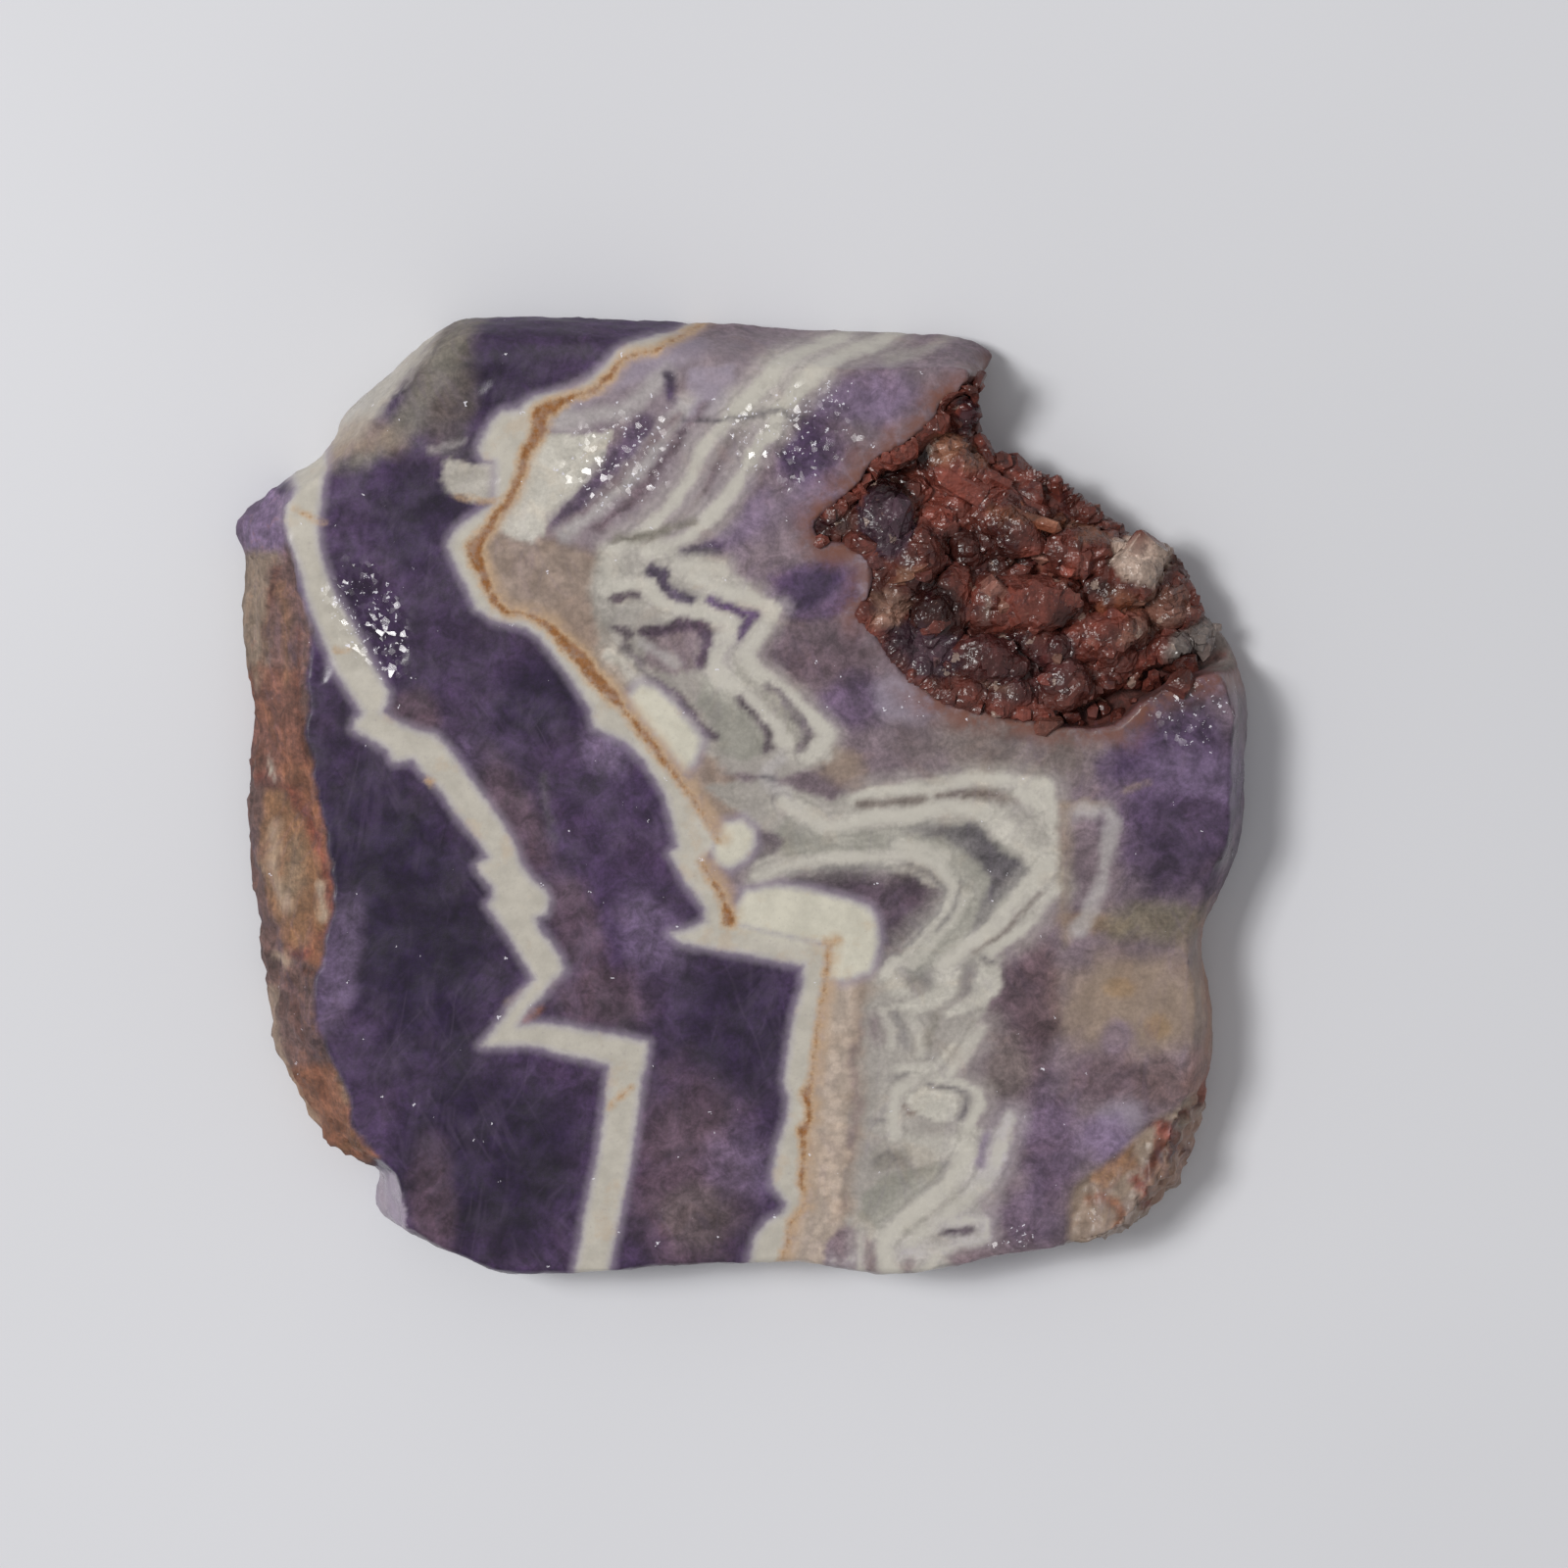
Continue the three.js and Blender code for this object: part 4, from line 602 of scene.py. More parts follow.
# The crust's colours, as fields and then bands like those of the face.
CRUST_FIELDS = [
    ("crust_red", 0.9, 1.2, [(15.6, 32), (18.4, 35), (24.8, 34.6), (26, 31), (25.4, 28.4), (17.4, 28.6)]),
    ("crust_slate", 0.95, 0.6, [(11.9, 31.2), (14.5, 32.9), (17.1, 29.7), (17.7, 27.7), (16.5, 25.1),
        (13.9, 25.1), (12.5, 26.8)]),
    # Fields and bands in the crust's darkest colour are painted shade in the crevices along the rim and
    # between the crystals.
    ("crust_crack_shade", 0.85, 0.7, [(12, 31.4), (14.6, 34.4), (17.2, 32.6), (16.2, 30.6), (14, 31.6)]),
    ("crust_grey", 0.4, 0.8, [(9.2, 29.4), (11.6, 29.6), (12, 27.6), (9.4, 27.6)]),
    ("crust_crack_shade", 0.85, 0.5, [(7, 29.2), (9.2, 29.2), (9, 27), (7.2, 27.2)]),
    ("crust_crack_shade", 0.85, 0.5, [(17.6, 36), (19.4, 36.6), (19.6, 34.4), (17.8, 34.2)]),
    ("crust_crack_shade", 0.8, 0.7, [(16.6, 22.6), (19, 23.4), (21.4, 21.4), (22.2, 17.8), (20.6, 16.4),
        (17.2, 18.6)]),
    ("crust_slate", 0.9, 1, [(14.6, 18.8), (17.6, 18.4), (21.6, 17.4), (22.6, 14.2), (20.4, 12.6),
        (17, 13.8), (15, 16.4)]),
    ("crust_tan", 0.9, 0.5, [(15.2, 22.6), (16.6, 24.4), (18.6, 24.4), (18, 23.2), (16.4, 22.2)]),
    ("crust_pink", 0.8, 0.6, [(13.2, 21.4), (15.6, 22), (17.2, 20.6), (15.8, 18.2), (13.8, 18.4)]),
    ("crust_crack_shade", 0.55, 1.4, [(20, 27.8), (24, 28.8), (28.4, 27.6), (28.2, 24.2), (24, 23),
        (20.6, 24.2)]),
    ("crust_red", 0.8, 0.8, [(21, 23), (23.4, 22.8), (25, 20.4), (23, 20)]),
    ("crust_red", 0.8, 0.7, [(28.4, 26.6), (31, 26.2), (31.2, 23.4), (29.4, 22.9)]),
    ("crust_red", 0.9, 0.7, [(32.8, 25.8), (36, 26.2), (36.6, 23.6), (34.4, 22.8), (32.8, 23.6)]),
    ("crust_red", 0.4, 1, [(25, 22.6), (33.8, 22.8), (38, 21.6), (41.2, 20.4), (41, 18), (33, 17.2),
        (25.4, 17.6)]),
    ("iron_orange", 0.4, 0.7, [(37.4, 22.4), (41.4, 21.6), (41.2, 19.4), (38.6, 18.6), (36, 19.6)]),
    ("crust_pale_and_highlight", 0.95, 0.5, [(37.3, 26.5), (41, 27.4), (43.7, 26), (43.9, 23.9), (41.6, 22.2), (39, 23.1),
        (37.2, 24.8)]),
    ("crust_tan", 0.8, 0.6, [(19.4, 37.8), (21.6, 38), (22.4, 35.4), (21, 34.4), (19.6, 34.8)]),
    ("crust_tan", 0.55, 0.6, [(22.2, 36.6), (24.8, 36.8), (24.8, 34.2), (22.2, 34.2)]),
    ("crust_red", 1, 0.7, [(25.4, 35.4), (29.8, 33.6), (30, 31.2), (26, 31.2)]),
    ("crust_tan", 0.7, 0.4, [(31.8, 29.4), (34.2, 28.8), (33.8, 27.6), (32.2, 28)]),
    ("crust_tan", 0.5, 0.8, [(34.4, 28.6), (37.4, 27.2), (37.2, 26.2), (34, 26.8)]),
    ("crust_dark", 0.5, 1.6, [(22, 17.2), (33.8, 17.2), (34.2, 12), (27, 10), (22.4, 12)]),
    ("crust_pink", 0.4, 1.2, [(41.2, 22.2), (45, 22), (46, 19.8), (42.4, 17.6), (38, 16.6)]),
    ("crust_grey", 0.9, 0.8, [(44.6, 17.4), (47, 19.2), (50.6, 17.8), (51, 13.6), (46.4, 13.9),
        (43.4, 14.8)]),
    ("crust_dark", 0.9, 0.6, [(21.6, 41.4), (24.4, 40.6), (24.2, 38.4), (22, 38.4)]),
    ("crust_red", 0.8, 0.6, [(19.4, 42.2), (22.8, 42.8), (21.8, 39), (19.6, 38.6)]),
]
CRUST_BANDS = [
    # Painted highlight: a pale line along the lit end edge of the big prism.
    ("crust_pale_and_highlight", 0.6, 0.3, 0.3, [(25.3, 21.2), (24.9, 19)]),
    # Painted shade in the cracks between the crystals.
    ("crust_crack_shade", 0.7, 0.5, 1.4, [(36, 21.8), (37.4, 21.8)]),
    ("crust_crack_shade", 0.7, 0.4, 1.2, [(31.8, 19.2), (32.8, 19.4)]),
    # Painted shadow beneath the big prism.
    ("crust_crack_shade", 0.6, 0.4, 0.6, [(25, 17.2), (28.4, 16.6), (33.6, 16.6), (34, 14.6)]),
    ("crust_crack_shade", 0.6, 0.4, 0.5, [(25.4, 31.8), (25.6, 29.6), (28.6, 28)]),
    ("crust_crack_shade", 0.6, 0.4, 0.6, [(36.8, 26.4), (37.2, 24.6)]),
    ("crust_red", 0.7, 0.5, 0.8, [(34, 17.4), (37.6, 17.8), (40.6, 19.2)]),
    ("crust_red", 0.8, 0.5, 0.6, [(35.8, 16.6), (40.6, 14.8), (45.2, 14.2), (49.4, 15.2)]),
    ("crust_crack_shade", 0.9, 0.3, 0.8, [(31.4, 8.2), (32.2, 8.2)]),
    ("crust_red", 0.6, 0.6, 1.4, [(22.2, 12.6), (24.6, 10.4), (28.6, 9.4), (31.4, 9)]),
    ("crust_pink", 0.6, 0.4, 0.6, [(24.6, 12.4), (27.4, 11.4)]),
    ("iron_orange", 0.4, 0.4, 0.9, [(25.8, 30), (29, 28.9), (31.8, 27.8)]),
    ("crust_red", 0.9, 0.5, 1.2, [(19.3, 38.4), (16.8, 36.4), (13.6, 34.6), (12.2, 32.4), (9.4, 30.2)]),
    ("crust_red", 0.8, 0.4, 0.7, [(13.2, 24.4), (13, 21.4), (12, 19.4), (13.4, 17.9)]),
]

# The big crystals of the crust: x, y, height over the ground, radius, length, heading, lean.
LARGE_CRYSTALS = [
    (22.4, 32.4, -0.5, 1.8, 5.6, 150, 76),
    (29.2, 28.9, 0.3, 0.8, 7, 342, 84),
    (28.8, 30.2, 0, 0.9, 6, 335, 78),
    (32.4, 31, 0.4, 0.8, 4.6, 100, 60),
    (36, 28, 0, 0.9, 4, 340, 70),
]

# The larger lumps of the crust: x, y, height over the ground, size along x, y and z, turn.
LARGE_LUMPS = [
    (14.6, 28.8, -0.4, 6, 7, 2.6, 40),
    (19.2, 20.7, -0.5, 4.6, 4.6, 2.2, 10),
    (18.6, 15.8, -0.5, 6.4, 4.2, 2.2, 30),
    (16.8, 23.5, 0.1, 3.4, 2.2, 2, 15),
    (15, 19.8, -0.1, 2.8, 3.4, 1.8, 60),
    (29.2, 20, -0.3, 8.6, 5.4, 3.2, -2),
    (36.6, 19.4, -0.5, 7, 4.4, 2.6, 12),
    (20.7, 36, 0.1, 2.8, 3.4, 2.4, 10),
    (23.4, 35.4, 0, 2.8, 2.8, 2.4, 50),
    (27.4, 33.2, 0.2, 4.6, 4, 2.6, 25),
    (29.7, 24.8, 0, 3, 3.4, 2, 30),
    (34.7, 24.4, 0, 3.8, 3.4, 2.2, -15),
    (35.6, 27.4, 0.1, 3.6, 2, 2.2, -20),
    (40.8, 24.9, 0.2, 6.2, 5, 2.8, 20),
    (39.6, 21, -0.2, 4, 3, 2.2, 20),
    (21.2, 41, 0.2, 3, 2.6, 2.8, 0),
    (22.8, 39.8, 0.2, 2.8, 2.8, 2.8, 40),
    (44, 20.2, -0.3, 3.8, 3.6, 2.2, 35),
    (46.4, 16.4, -0.5, 5, 4, 2.4, -25),
    (37.2, 12.6, -0.6, 6, 5.4, 2, -30),
    (29, 13.2, -0.7, 6.6, 5.4, 2, 20),
    (41.6, 16, -0.5, 5.2, 3.6, 2, -15),
]

# Threads in the amethyst, as (length, spacing, turn in degrees, strength).
THREADS = [(18.0, 3.4, -62.0, 0.11), (16.0, 3.0, 50.0, 0.09), (20.0, 3.2, 82.0, 0.1)]
CRYSTAL_SEED = 5


def albedo(seen, light=0.80, veil=0.018):
    """The linear base colour that looks like a 0 to 255 colour in the stage's light, gloss included."""
    linear = [((c / 255 + 0.055) / 1.055) ** 2.4 for c in seen]
    return tuple(max(value - veil, 0.002) / light for value in linear)


def seen_colour(name, text, seen):
    """A colour that a user may change."""
    label = name.replace("_", " ").capitalize()
    return FloatVectorProperty(
        name=label, description=text, subtype="COLOR", size=3, min=0.0, max=1.0, default=albedo(seen)
    )


def length(label, text, default):
    """A length in metres that a user may change, given here in millimetres."""
    metres = default * MM
    return FloatProperty(name=label, description=text, subtype="DISTANCE", unit="LENGTH", default=metres)


class StoneColours(bpy.types.PropertyGroup):
    """The colours that the banding, the skin and the crystals are mixed from."""

    __annotations__ = {name: seen_colour(name, text, seen) for name, (seen, text) in PALETTE.items()}


class SlabSettings(bpy.types.PropertyGroup):
    """Sizes of the slab's surface detail."""

    voxel: length("Mesh step", "Size of the quads on the sides and the back", 0.75)
    skin_relief: length("Skin relief", "Height of the ledges on the weathered skin", 0.55)
    side_relief: length("Side relief", "Roughness of the broken and ground sides", 0.16)
    facet_depth: length("Facet depth", "Depth of the broken facets in the sparkling zones", 0.22)
    haze_width: FloatProperty(
        name="Haze width", description="Width of the lilac haze beside the cream veins, in mm", default=1.2
    )


class CrustSettings(bpy.types.PropertyGroup):
    """Sizes of the crystals in the hollow."""

    voxel: length("Mesh step", "Size of the quads of the granular ground", 0.45)
    spacing: length("Crystal spacing", "Distance between the small crystals", 1.25)
    smallest: length("Smallest crystal", "Radius of the smallest crystals", 0.45)
    largest: length("Largest crystal", "Radius of the largest of the small crystals", 0.95)


class StageSettings(bpy.types.PropertyGroup):
    """The camera, the lights and the floor."""

    lens: FloatProperty(name="Lens", description="Focal length", subtype="DISTANCE_CAMERA", default=135.0)
    distance: length("Camera distance", "From the camera to the sawn face", 600.0)
    tilt: FloatProperty(
        name="Camera tilt", description="Off the face's normal", subtype="ANGLE", default=math.radians(8)
    )
    floor: FloatVectorProperty(
        name="Floor", description="Pale floor", subtype="COLOR", min=0.0, max=1.0, default=(0.74, 0.75, 0.79)
    )
    key_power: FloatProperty(name="Key light", description="Power of the soft light, in W", default=11.4)
    glint_power: FloatProperty(name="Glint light", description="Power of the small lamp, in W", default=1.3)
    sky: FloatProperty(name="Sky", description="Strength of the even light from all round", default=0.36)


class Graph:
    """A material's node tree, with short ways to add and link its nodes."""

    def __init__(self, name):
        self.material = bpy.data.materials.new(name)
        self.material.use_nodes = True
        self.tree = self.material.node_tree
        self.tree.nodes.clear()

    def add(self, kind, inputs=None, **settings):
        """A node with its settings made and its inputs linked or set."""
        node = self.tree.nodes.new(kind)
        for key, value in settings.items():
            setattr(node, key, value)
        for key, value in (inputs or {}).items():
            self.feed(node.inputs[key], value)
        return node

    def feed(self, socket, value):
        """Links a socket to another node's output, or sets its own value."""
        if isinstance(value, bpy.types.NodeSocket):
            self.tree.links.new(value, socket)
        else:
            socket.default_value = value

    def attribute(self, name, output="Fac"):
        """A number or colour that each vertex carries."""
        return self.add("ShaderNodeAttribute", attribute_name=name).outputs[output]

    def millimetres(self, size=(1, 1, 1), turn=0.0):
        """Object coordinates turned about Z, then counted in lumps of a size in millimetres."""
        coordinates = self.add("ShaderNodeTexCoord").outputs["Object"]
        mapping = self.add("ShaderNodeMapping", {"Vector": coordinates}, vector_type="TEXTURE")
        mapping.inputs["Scale"].default_value = [side * MM for side in size]
        mapping.inputs["Rotation"].default_value = (0, 0, math.radians(turn))
        return mapping.outputs["Vector"]

    def noise(self, vector, scale, detail=3.0, roughness=0.55, distortion=0.0):
        """Noise from 0 to 1, mostly near 0.5."""
        shape = {"Scale": scale, "Detail": detail, "Roughness": roughness, "Distortion": distortion}
        return self.add("ShaderNodeTexNoise", {"Vector": vector, **shape}).outputs["Fac"]

    def math(self, operation, *numbers, clamp=False):
        """One sum of numbers or sockets."""
        node = self.add("ShaderNodeMath", operation=operation, use_clamp=clamp)
        for socket, number in zip(node.inputs, numbers):
            self.feed(socket, number)
        return node.outputs["Value"]

    def vector_math(self, operation, a, b, output="Vector"):
        """One sum of two vectors."""
        return self.add("ShaderNodeVectorMath", {0: a, 1: b}, operation=operation).outputs[output]

    def bent(self, places, scale, detail, reach):
        """Places shifted by noise, so that what is drawn there has uneven outlines."""
        shaken = self.add("ShaderNodeTexNoise", {"Vector": places, "Scale": scale, "Detail": detail})
        shift = self.vector_math("MULTIPLY", shaken.outputs["Color"], (reach,) * 3)
        return self.vector_math("ADD", places, shift)

    def cells(self, places, scale):
        """Random cells, as sockets for the distance, colour and middle of the nearest one."""
        return self.add("ShaderNodeTexVoronoi", {"Vector": places, "Scale": scale, "Randomness": 1.0}).outputs

    def fade(self, value, start, end, low=0.0, high=1.0):
        """Goes smoothly from low at start to high at end."""
        span = {"From Min": start, "From Max": end, "To Min": low, "To Max": high}
        node = self.add("ShaderNodeMapRange", {"Value": value, **span}, interpolation_type="SMOOTHSTEP")
        return node.outputs["Result"]

    def mix(self, factor, a, b, blend="MIX"):
        """Colour a turned into b by the factor."""
        node = self.add("ShaderNodeMix", data_type="RGBA", blend_type=blend)
        self.feed(node.inputs["Factor"], factor)
        for socket, value in ((node.inputs[6], a), (node.inputs[7], b)):
            self.feed(socket, (*value, 1.0) if isinstance(value, tuple) and len(value) == 3 else value)
        return node.outputs[2]

    def shaded(self, body, value, start, end, low, high):
        """The colour darkened and lightened, from low at start to high at end."""
        return self.mix(1.0, body, self.fade(value, start, end, low, high), "MULTIPLY")

    def stained(self, body, value, start, end, strength, name):
        """A palette colour laid over the body, from nothing at start to its strength at end."""
        return self.mix(self.fade(value, start, end, 0.0, strength), body, colour(name))

    def finish(self, inputs):
        """Ends the tree in one shader, with its inputs linked or set."""
        shader = self.add("ShaderNodeBsdfPrincipled", inputs)
        self.add("ShaderNodeOutputMaterial", {"Surface": shader.outputs["BSDF"]})
        return self.material


def colour(name):
    """A palette colour as the user left it."""
    return tuple(getattr(bpy.context.scene.amethyst_colours, name))


def vertex_array(mesh):
    """The mesh's vertices, in millimetres."""
    flat = np.empty(len(mesh.vertices) * 3)
    mesh.vertices.foreach_get("co", flat)
    return flat.reshape(-1, 3) / MM


def normal_array(mesh):
    """The mesh's vertex normals."""
    flat = np.empty(len(mesh.vertices) * 3, np.float32)
    mesh.vertex_normals.foreach_get("vector", flat)
    return flat.reshape(-1, 3).astype(float)


def put_vertices(mesh, points):
    """Moves the mesh's vertices to places in millimetres."""
    mesh.vertices.foreach_set("co", (points * MM).ravel())
    mesh.update()


def write_number(mesh, name, values):
    """One number for each vertex, for the material to read."""
    mesh.attributes.new(name, "FLOAT", "POINT").data.foreach_set("value", np.asarray(values, np.float32))


def write_colour(mesh, name, colours):
    """One colour for each vertex, for the material to read."""
    rgba = np.ones((len(colours), 4), np.float32)
    rgba[:, :3] = colours
    mesh.attributes.new(name, "FLOAT_COLOR", "POINT").data.foreach_set("color", rgba.ravel())


def rough(points, size, octaves=3, shift=0.0):
    """Noise from about -1 to 1 at each point, with lumps of a size in millimetres on each axis."""
    stretched = points / np.asarray(size, float) + shift
    return np.array([noise.fractal(Vector(p), 1.0, 2.0, octaves) for p in stretched])


def smooth(value, start, end):
    """Goes smoothly from 0 at start to 1 at end."""
    t = np.clip((value - start) / (end - start), 0.0, 1.0)
    return t * t * (3 - 2 * t)


def blend(base, other, weight):
    """Colours of many places, moved towards one other colour by each place's weight."""
    return base + (np.asarray(other) - base) * weight[:, None]


def stroke_gap(at, points, width=0.0):
    """Distance of each place to a stroke's edge, below 0 inside it.

    A point's third number is its own width.
    """
    nearest = np.full(len(at), FAR)
    for first, second in zip(points, points[1:]):
        start = np.array(first[:2])
        step = np.array(second[:2]) - start
        offset = at - start
        along = np.clip(offset @ step / max(step @ step, WELD), 0, 1)
        gap = np.hypot(*(offset - along[:, None] * step).T)
        wide = [p[2] if len(p) > 2 else width for p in (first, second)]
        nearest = np.minimum(nearest, gap - (wide[0] + along * (wide[1] - wide[0])) / 2)
    return nearest


def area_gap(at, outline):
    """Distance of each place to a closed outline, below 0 inside it."""
    inside = np.zeros(len(at), bool)
    for (ax, ay), (bx, by) in zip(outline, outline[1:] + outline[:1]):
        if ay != by:
            crosses = (at[:, 1] < ay) != (at[:, 1] < by)
            inside ^= crosses & (at[:, 0] < ax + (at[:, 1] - ay) * (bx - ax) / (by - ay))
    gap = stroke_gap(at, outline + outline[:1])
    return np.where(inside, -gap, gap)


def spot_weight(at, low_x, high_x, low_y, high_y, turn, ragged):
    """1 in the middle of a soft oval spot, 0 outside it."""
    middle = np.array([(low_x + high_x) / 2, (low_y + high_y) / 2])
    c, s = math.cos(math.radians(turn)), math.sin(math.radians(turn))
    local = (at - middle) @ np.array([[c, -s], [s, c]])
    radius = np.hypot(local[:, 0] / (high_x - low_x) * 2, local[:, 1] / (high_y - low_y) * 2)
    return smooth(radius + ragged, 1.35, 0.55)


def face_places(points):
    """Where each vertex lies on the traced face, with the bands leaning as they go down."""
    depth = THICKNESS - points[:, 2]
    x = points[:, 0] + FACE_MIDDLE[0]
    y = points[:, 1] + FACE_MIDDLE[1] + BAND_DIP * depth
    return np.column_stack([x, y])


def welded_copy(node):
    """A bmesh of a frame node, with its loose triangles joined."""
    bm = bmesh.new()
    bm.from_mesh(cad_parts[node].data)
    bmesh.ops.remove_doubles(bm, verts=bm.verts, dist=WELD)
    return bm


def even_skin(bm, name, voxel):
    """A new object with the bmesh's surface as even quads."""
    coarse = bpy.data.meshes.new(name + "_coarse")
    bm.to_mesh(coarse)
    piece = bpy.data.objects.new(name, coarse)
    bpy.context.scene.collection.objects.link(piece)
    remesh = piece.modifiers.new("Even quads", "REMESH")
    remesh.mode = "VOXEL"
    remesh.voxel_size = voxel
    evaluated = piece.evaluated_get(bpy.context.evaluated_depsgraph_get())
    skin = bpy.data.meshes.new_from_object(evaluated)
    skin.name = name
    piece.modifiers.clear()
    piece.data = skin
    bpy.data.meshes.remove(coarse)
    return piece


def refine_and_snap(piece, tree):
    """Halves the quads of the sawn face, then lays every vertex on the frame's surface."""
    bm = bmesh.new()
    bm.from_mesh(piece.data)
    bm.normal_update()
    top = (THICKNESS - FINE_DEPTH) * MM
    fine = {e for f in bm.faces if f.normal.z > 0.7 and f.calc_center_median().z > top for e in f.edges}
    bmesh.ops.subdivide_edges(bm, edges=list(fine), cuts=1, use_grid_fill=True)
    for vert in bm.verts:
        vert.co = tree.find_nearest(vert.co)[0]
    places = np.array([v.co for v in bm.verts]) / MM
    worn = np.min([stroke_gap(face_places(places), edge, WORN_WIDTH) for edge in WORN_EDGES], axis=0)
    worn_verts = [v for v, gap in zip(bm.verts, worn) if gap < 0.0 and v.co.z > WORN_FOOT * MM]
    for verts, times in ((bm.verts, 2), (worn_verts, WORN_STEPS)):
        for _ in range(times):
            bmesh.ops.smooth_vert(bm, verts=verts, factor=0.5, **EVERY_AXIS)
    bm.to_mesh(piece.data)
    bm.free()


def weathered(gap, points):
    """1 on the weathered skin, 0 on the rest."""
    return smooth(gap + 0.5 * rough(points, 3.0, shift=7.0), 0.35, -0.35)


def sparkle_amount(at, ragged):
    """How much broken crystal there is at each place."""
    amount = np.zeros(len(at))
    for strength, *zone in SPARKLE_ZONES:
        amount = np.maximum(amount, strength * spot_weight(at, *zone, ragged))
    return amount


def facet_heights(points, wanted, size):
    """Flat tilted facets from 0 to about 1, as on broken crystal, at the wanted vertices."""
    heights = np.zeros(len(points))
    for index in np.nonzero(wanted)[0]:
        place = Vector(points[index]) / size
        _, cells = noise.voronoi(place)
        tilt = noise.cell_vector(cells[0] * 7.0)
        heights[index] = 0.5 + (place - cells[0]).dot(tilt - Vector((0.5, 0.5, 0.5)))
    return heights


def shallower_pits(points, at):
    """The broken pits of the face are shallower than the frame's plain bowls."""
    inside = smooth(area_gap(at, HOLLOW_EDGE), 0.4, 1.0)
    inside *= smooth(points[:, 2], THICKNESS - 1.4, THICKNESS - 0.9)
    inner = (np.abs(at[:, 0]) < PITTED[0]) & (np.abs(at[:, 1]) < PITTED[1])
    lift = (THICKNESS - points[:, 2]) * PIT_LIFT * inside * inner
    return points + np.outer(lift, (0, 0, 1))


def slab_relief(points, normals, skin, corner, sparkle, settings):
    """How far each vertex moves along its normal, in millimetres."""
    side = smooth(normals[:, 2], 0.9, 0.5) * smooth(normals[:, 2], -0.97, -0.7)
    ledges = rough(points, (2.2, 9.0, 1.3), 4, 3.0)
    grit = rough(points, 0.9, 3, 11.0)
    lumps = rough(points, 2.4, 3, 5.0)
    move = side * settings.side_relief / MM * (lumps + 0.6 * grit)
    move += skin * settings.skin_relief / MM * (0.8 * ledges - 0.5 * np.abs(lumps) + 0.25 * grit)
    move += corner * (1.1 * np.abs(lumps) - 0.7 + 0.25 * grit)
    facets = facet_heights(points, sparkle > 0.1, 1.5)
    move -= sparkle * settings.facet_depth / MM * facets
    return move


def ground_tint(at, ragged, skin, corner):
    """The colour of the stone at each place, without its bands."""
    tint = np.tile(colour("dusky_purple"), (len(at), 1))
    right_of_rust = [p[:2] for p in RUST_UPPER + RUST_MIDDLE + RUST_LOWER] + PAST_RIGHT
    right = smooth(area_gap(at, right_of_rust), 0.4, -0.4)
    tint = blend(tint, colour("brown_purple"), right)
    tint = blend(tint, colour("lilac_grey"), 0.5 * right)
    for name, strength, *zone in SPOTS:
        tint = blend(tint, colour(name), strength * spot_weight(at, *zone, ragged))
    paint(tint, at, ragged, FIELDS, LACE)
    corner_tint = np.tile(colour("skin_grey"), (len(at), 1))
    paint(corner_tint, at, ragged, CORNER_FIELDS, CORNER_BANDS)
    tint = tint * (1 - corner[:, None]) + corner_tint * corner[:, None]
    skin_tint = np.tile(colour("skin_mauve"), (len(at), 1))
    paint(skin_tint, at, ragged, SKIN_FIELDS, SKIN_BANDS)
    return tint * (1 - skin[:, None]) + skin_tint * skin[:, None]


def close_to(at, points, margin):
    """Which places lie in a box round a stroke or outline."""
    traced = np.array([point[:2] for point in points])
    inside = (at > traced.min(axis=0) - margin) & (at < traced.max(axis=0) + margin)
    return np.nonzero(inside.all(axis=1))[0]


def paint(tint, at, ragged, fields, bands):
    """Lays soft fields and then soft bands over the colours that are there."""
    for name, strength, softness, outline in fields:
        near = close_to(at, outline, 2 * softness)
        gap = area_gap(at[near], outline) + softness * ragged[near]
        tint[near] = blend(tint[near], colour(name), strength * smooth(gap, softness / 2, -softness / 2))
    for name, strength, softness, width, points in bands:
        near = close_to(at, points, width + 6 * softness)
        gap = stroke_gap(at[near], points, width) + 1.5 * ragged[near] * min(width, 1.5)
        halo = 0.4 * smooth(gap, 4.5 * softness, 0.0) if name in HAZY else 0.0
        weight = strength * np.maximum(smooth(gap, softness, -softness), halo)
        tint[near] = blend(tint[near], colour(name), weight)


def lace_gap(at):
    """The distance to the nearest light band's edge, with the dark bands cut out of them."""
    nearest = np.full(len(at), REACH)
    for name, strength, _, width, points in LACE:
        near = close_to(at, points, width + REACH)
        gap = stroke_gap(at[near], points, width)
        if name in HAZY:
            nearest[near] = np.minimum(nearest[near], gap + 0.6 * (1 - strength))
        else:
            nearest[near] = np.maximum(nearest[near], 0.2 - gap)
    return np.clip(nearest, -REACH, REACH)


def rust_stain(at):
    """1 on the right side of the rust line, fading out in about 1.5 mm."""
    amount = np.zeros(len(at))
    for line in (RUST_UPPER, RUST_MIDDLE, RUST_LOWER):
        spread = [(x + 0.55, y + 0.35, 0.0) for x, y, _ in line]
        amount = np.maximum(amount, smooth(stroke_gap(at, spread), 1.4, 0.0))
    return amount


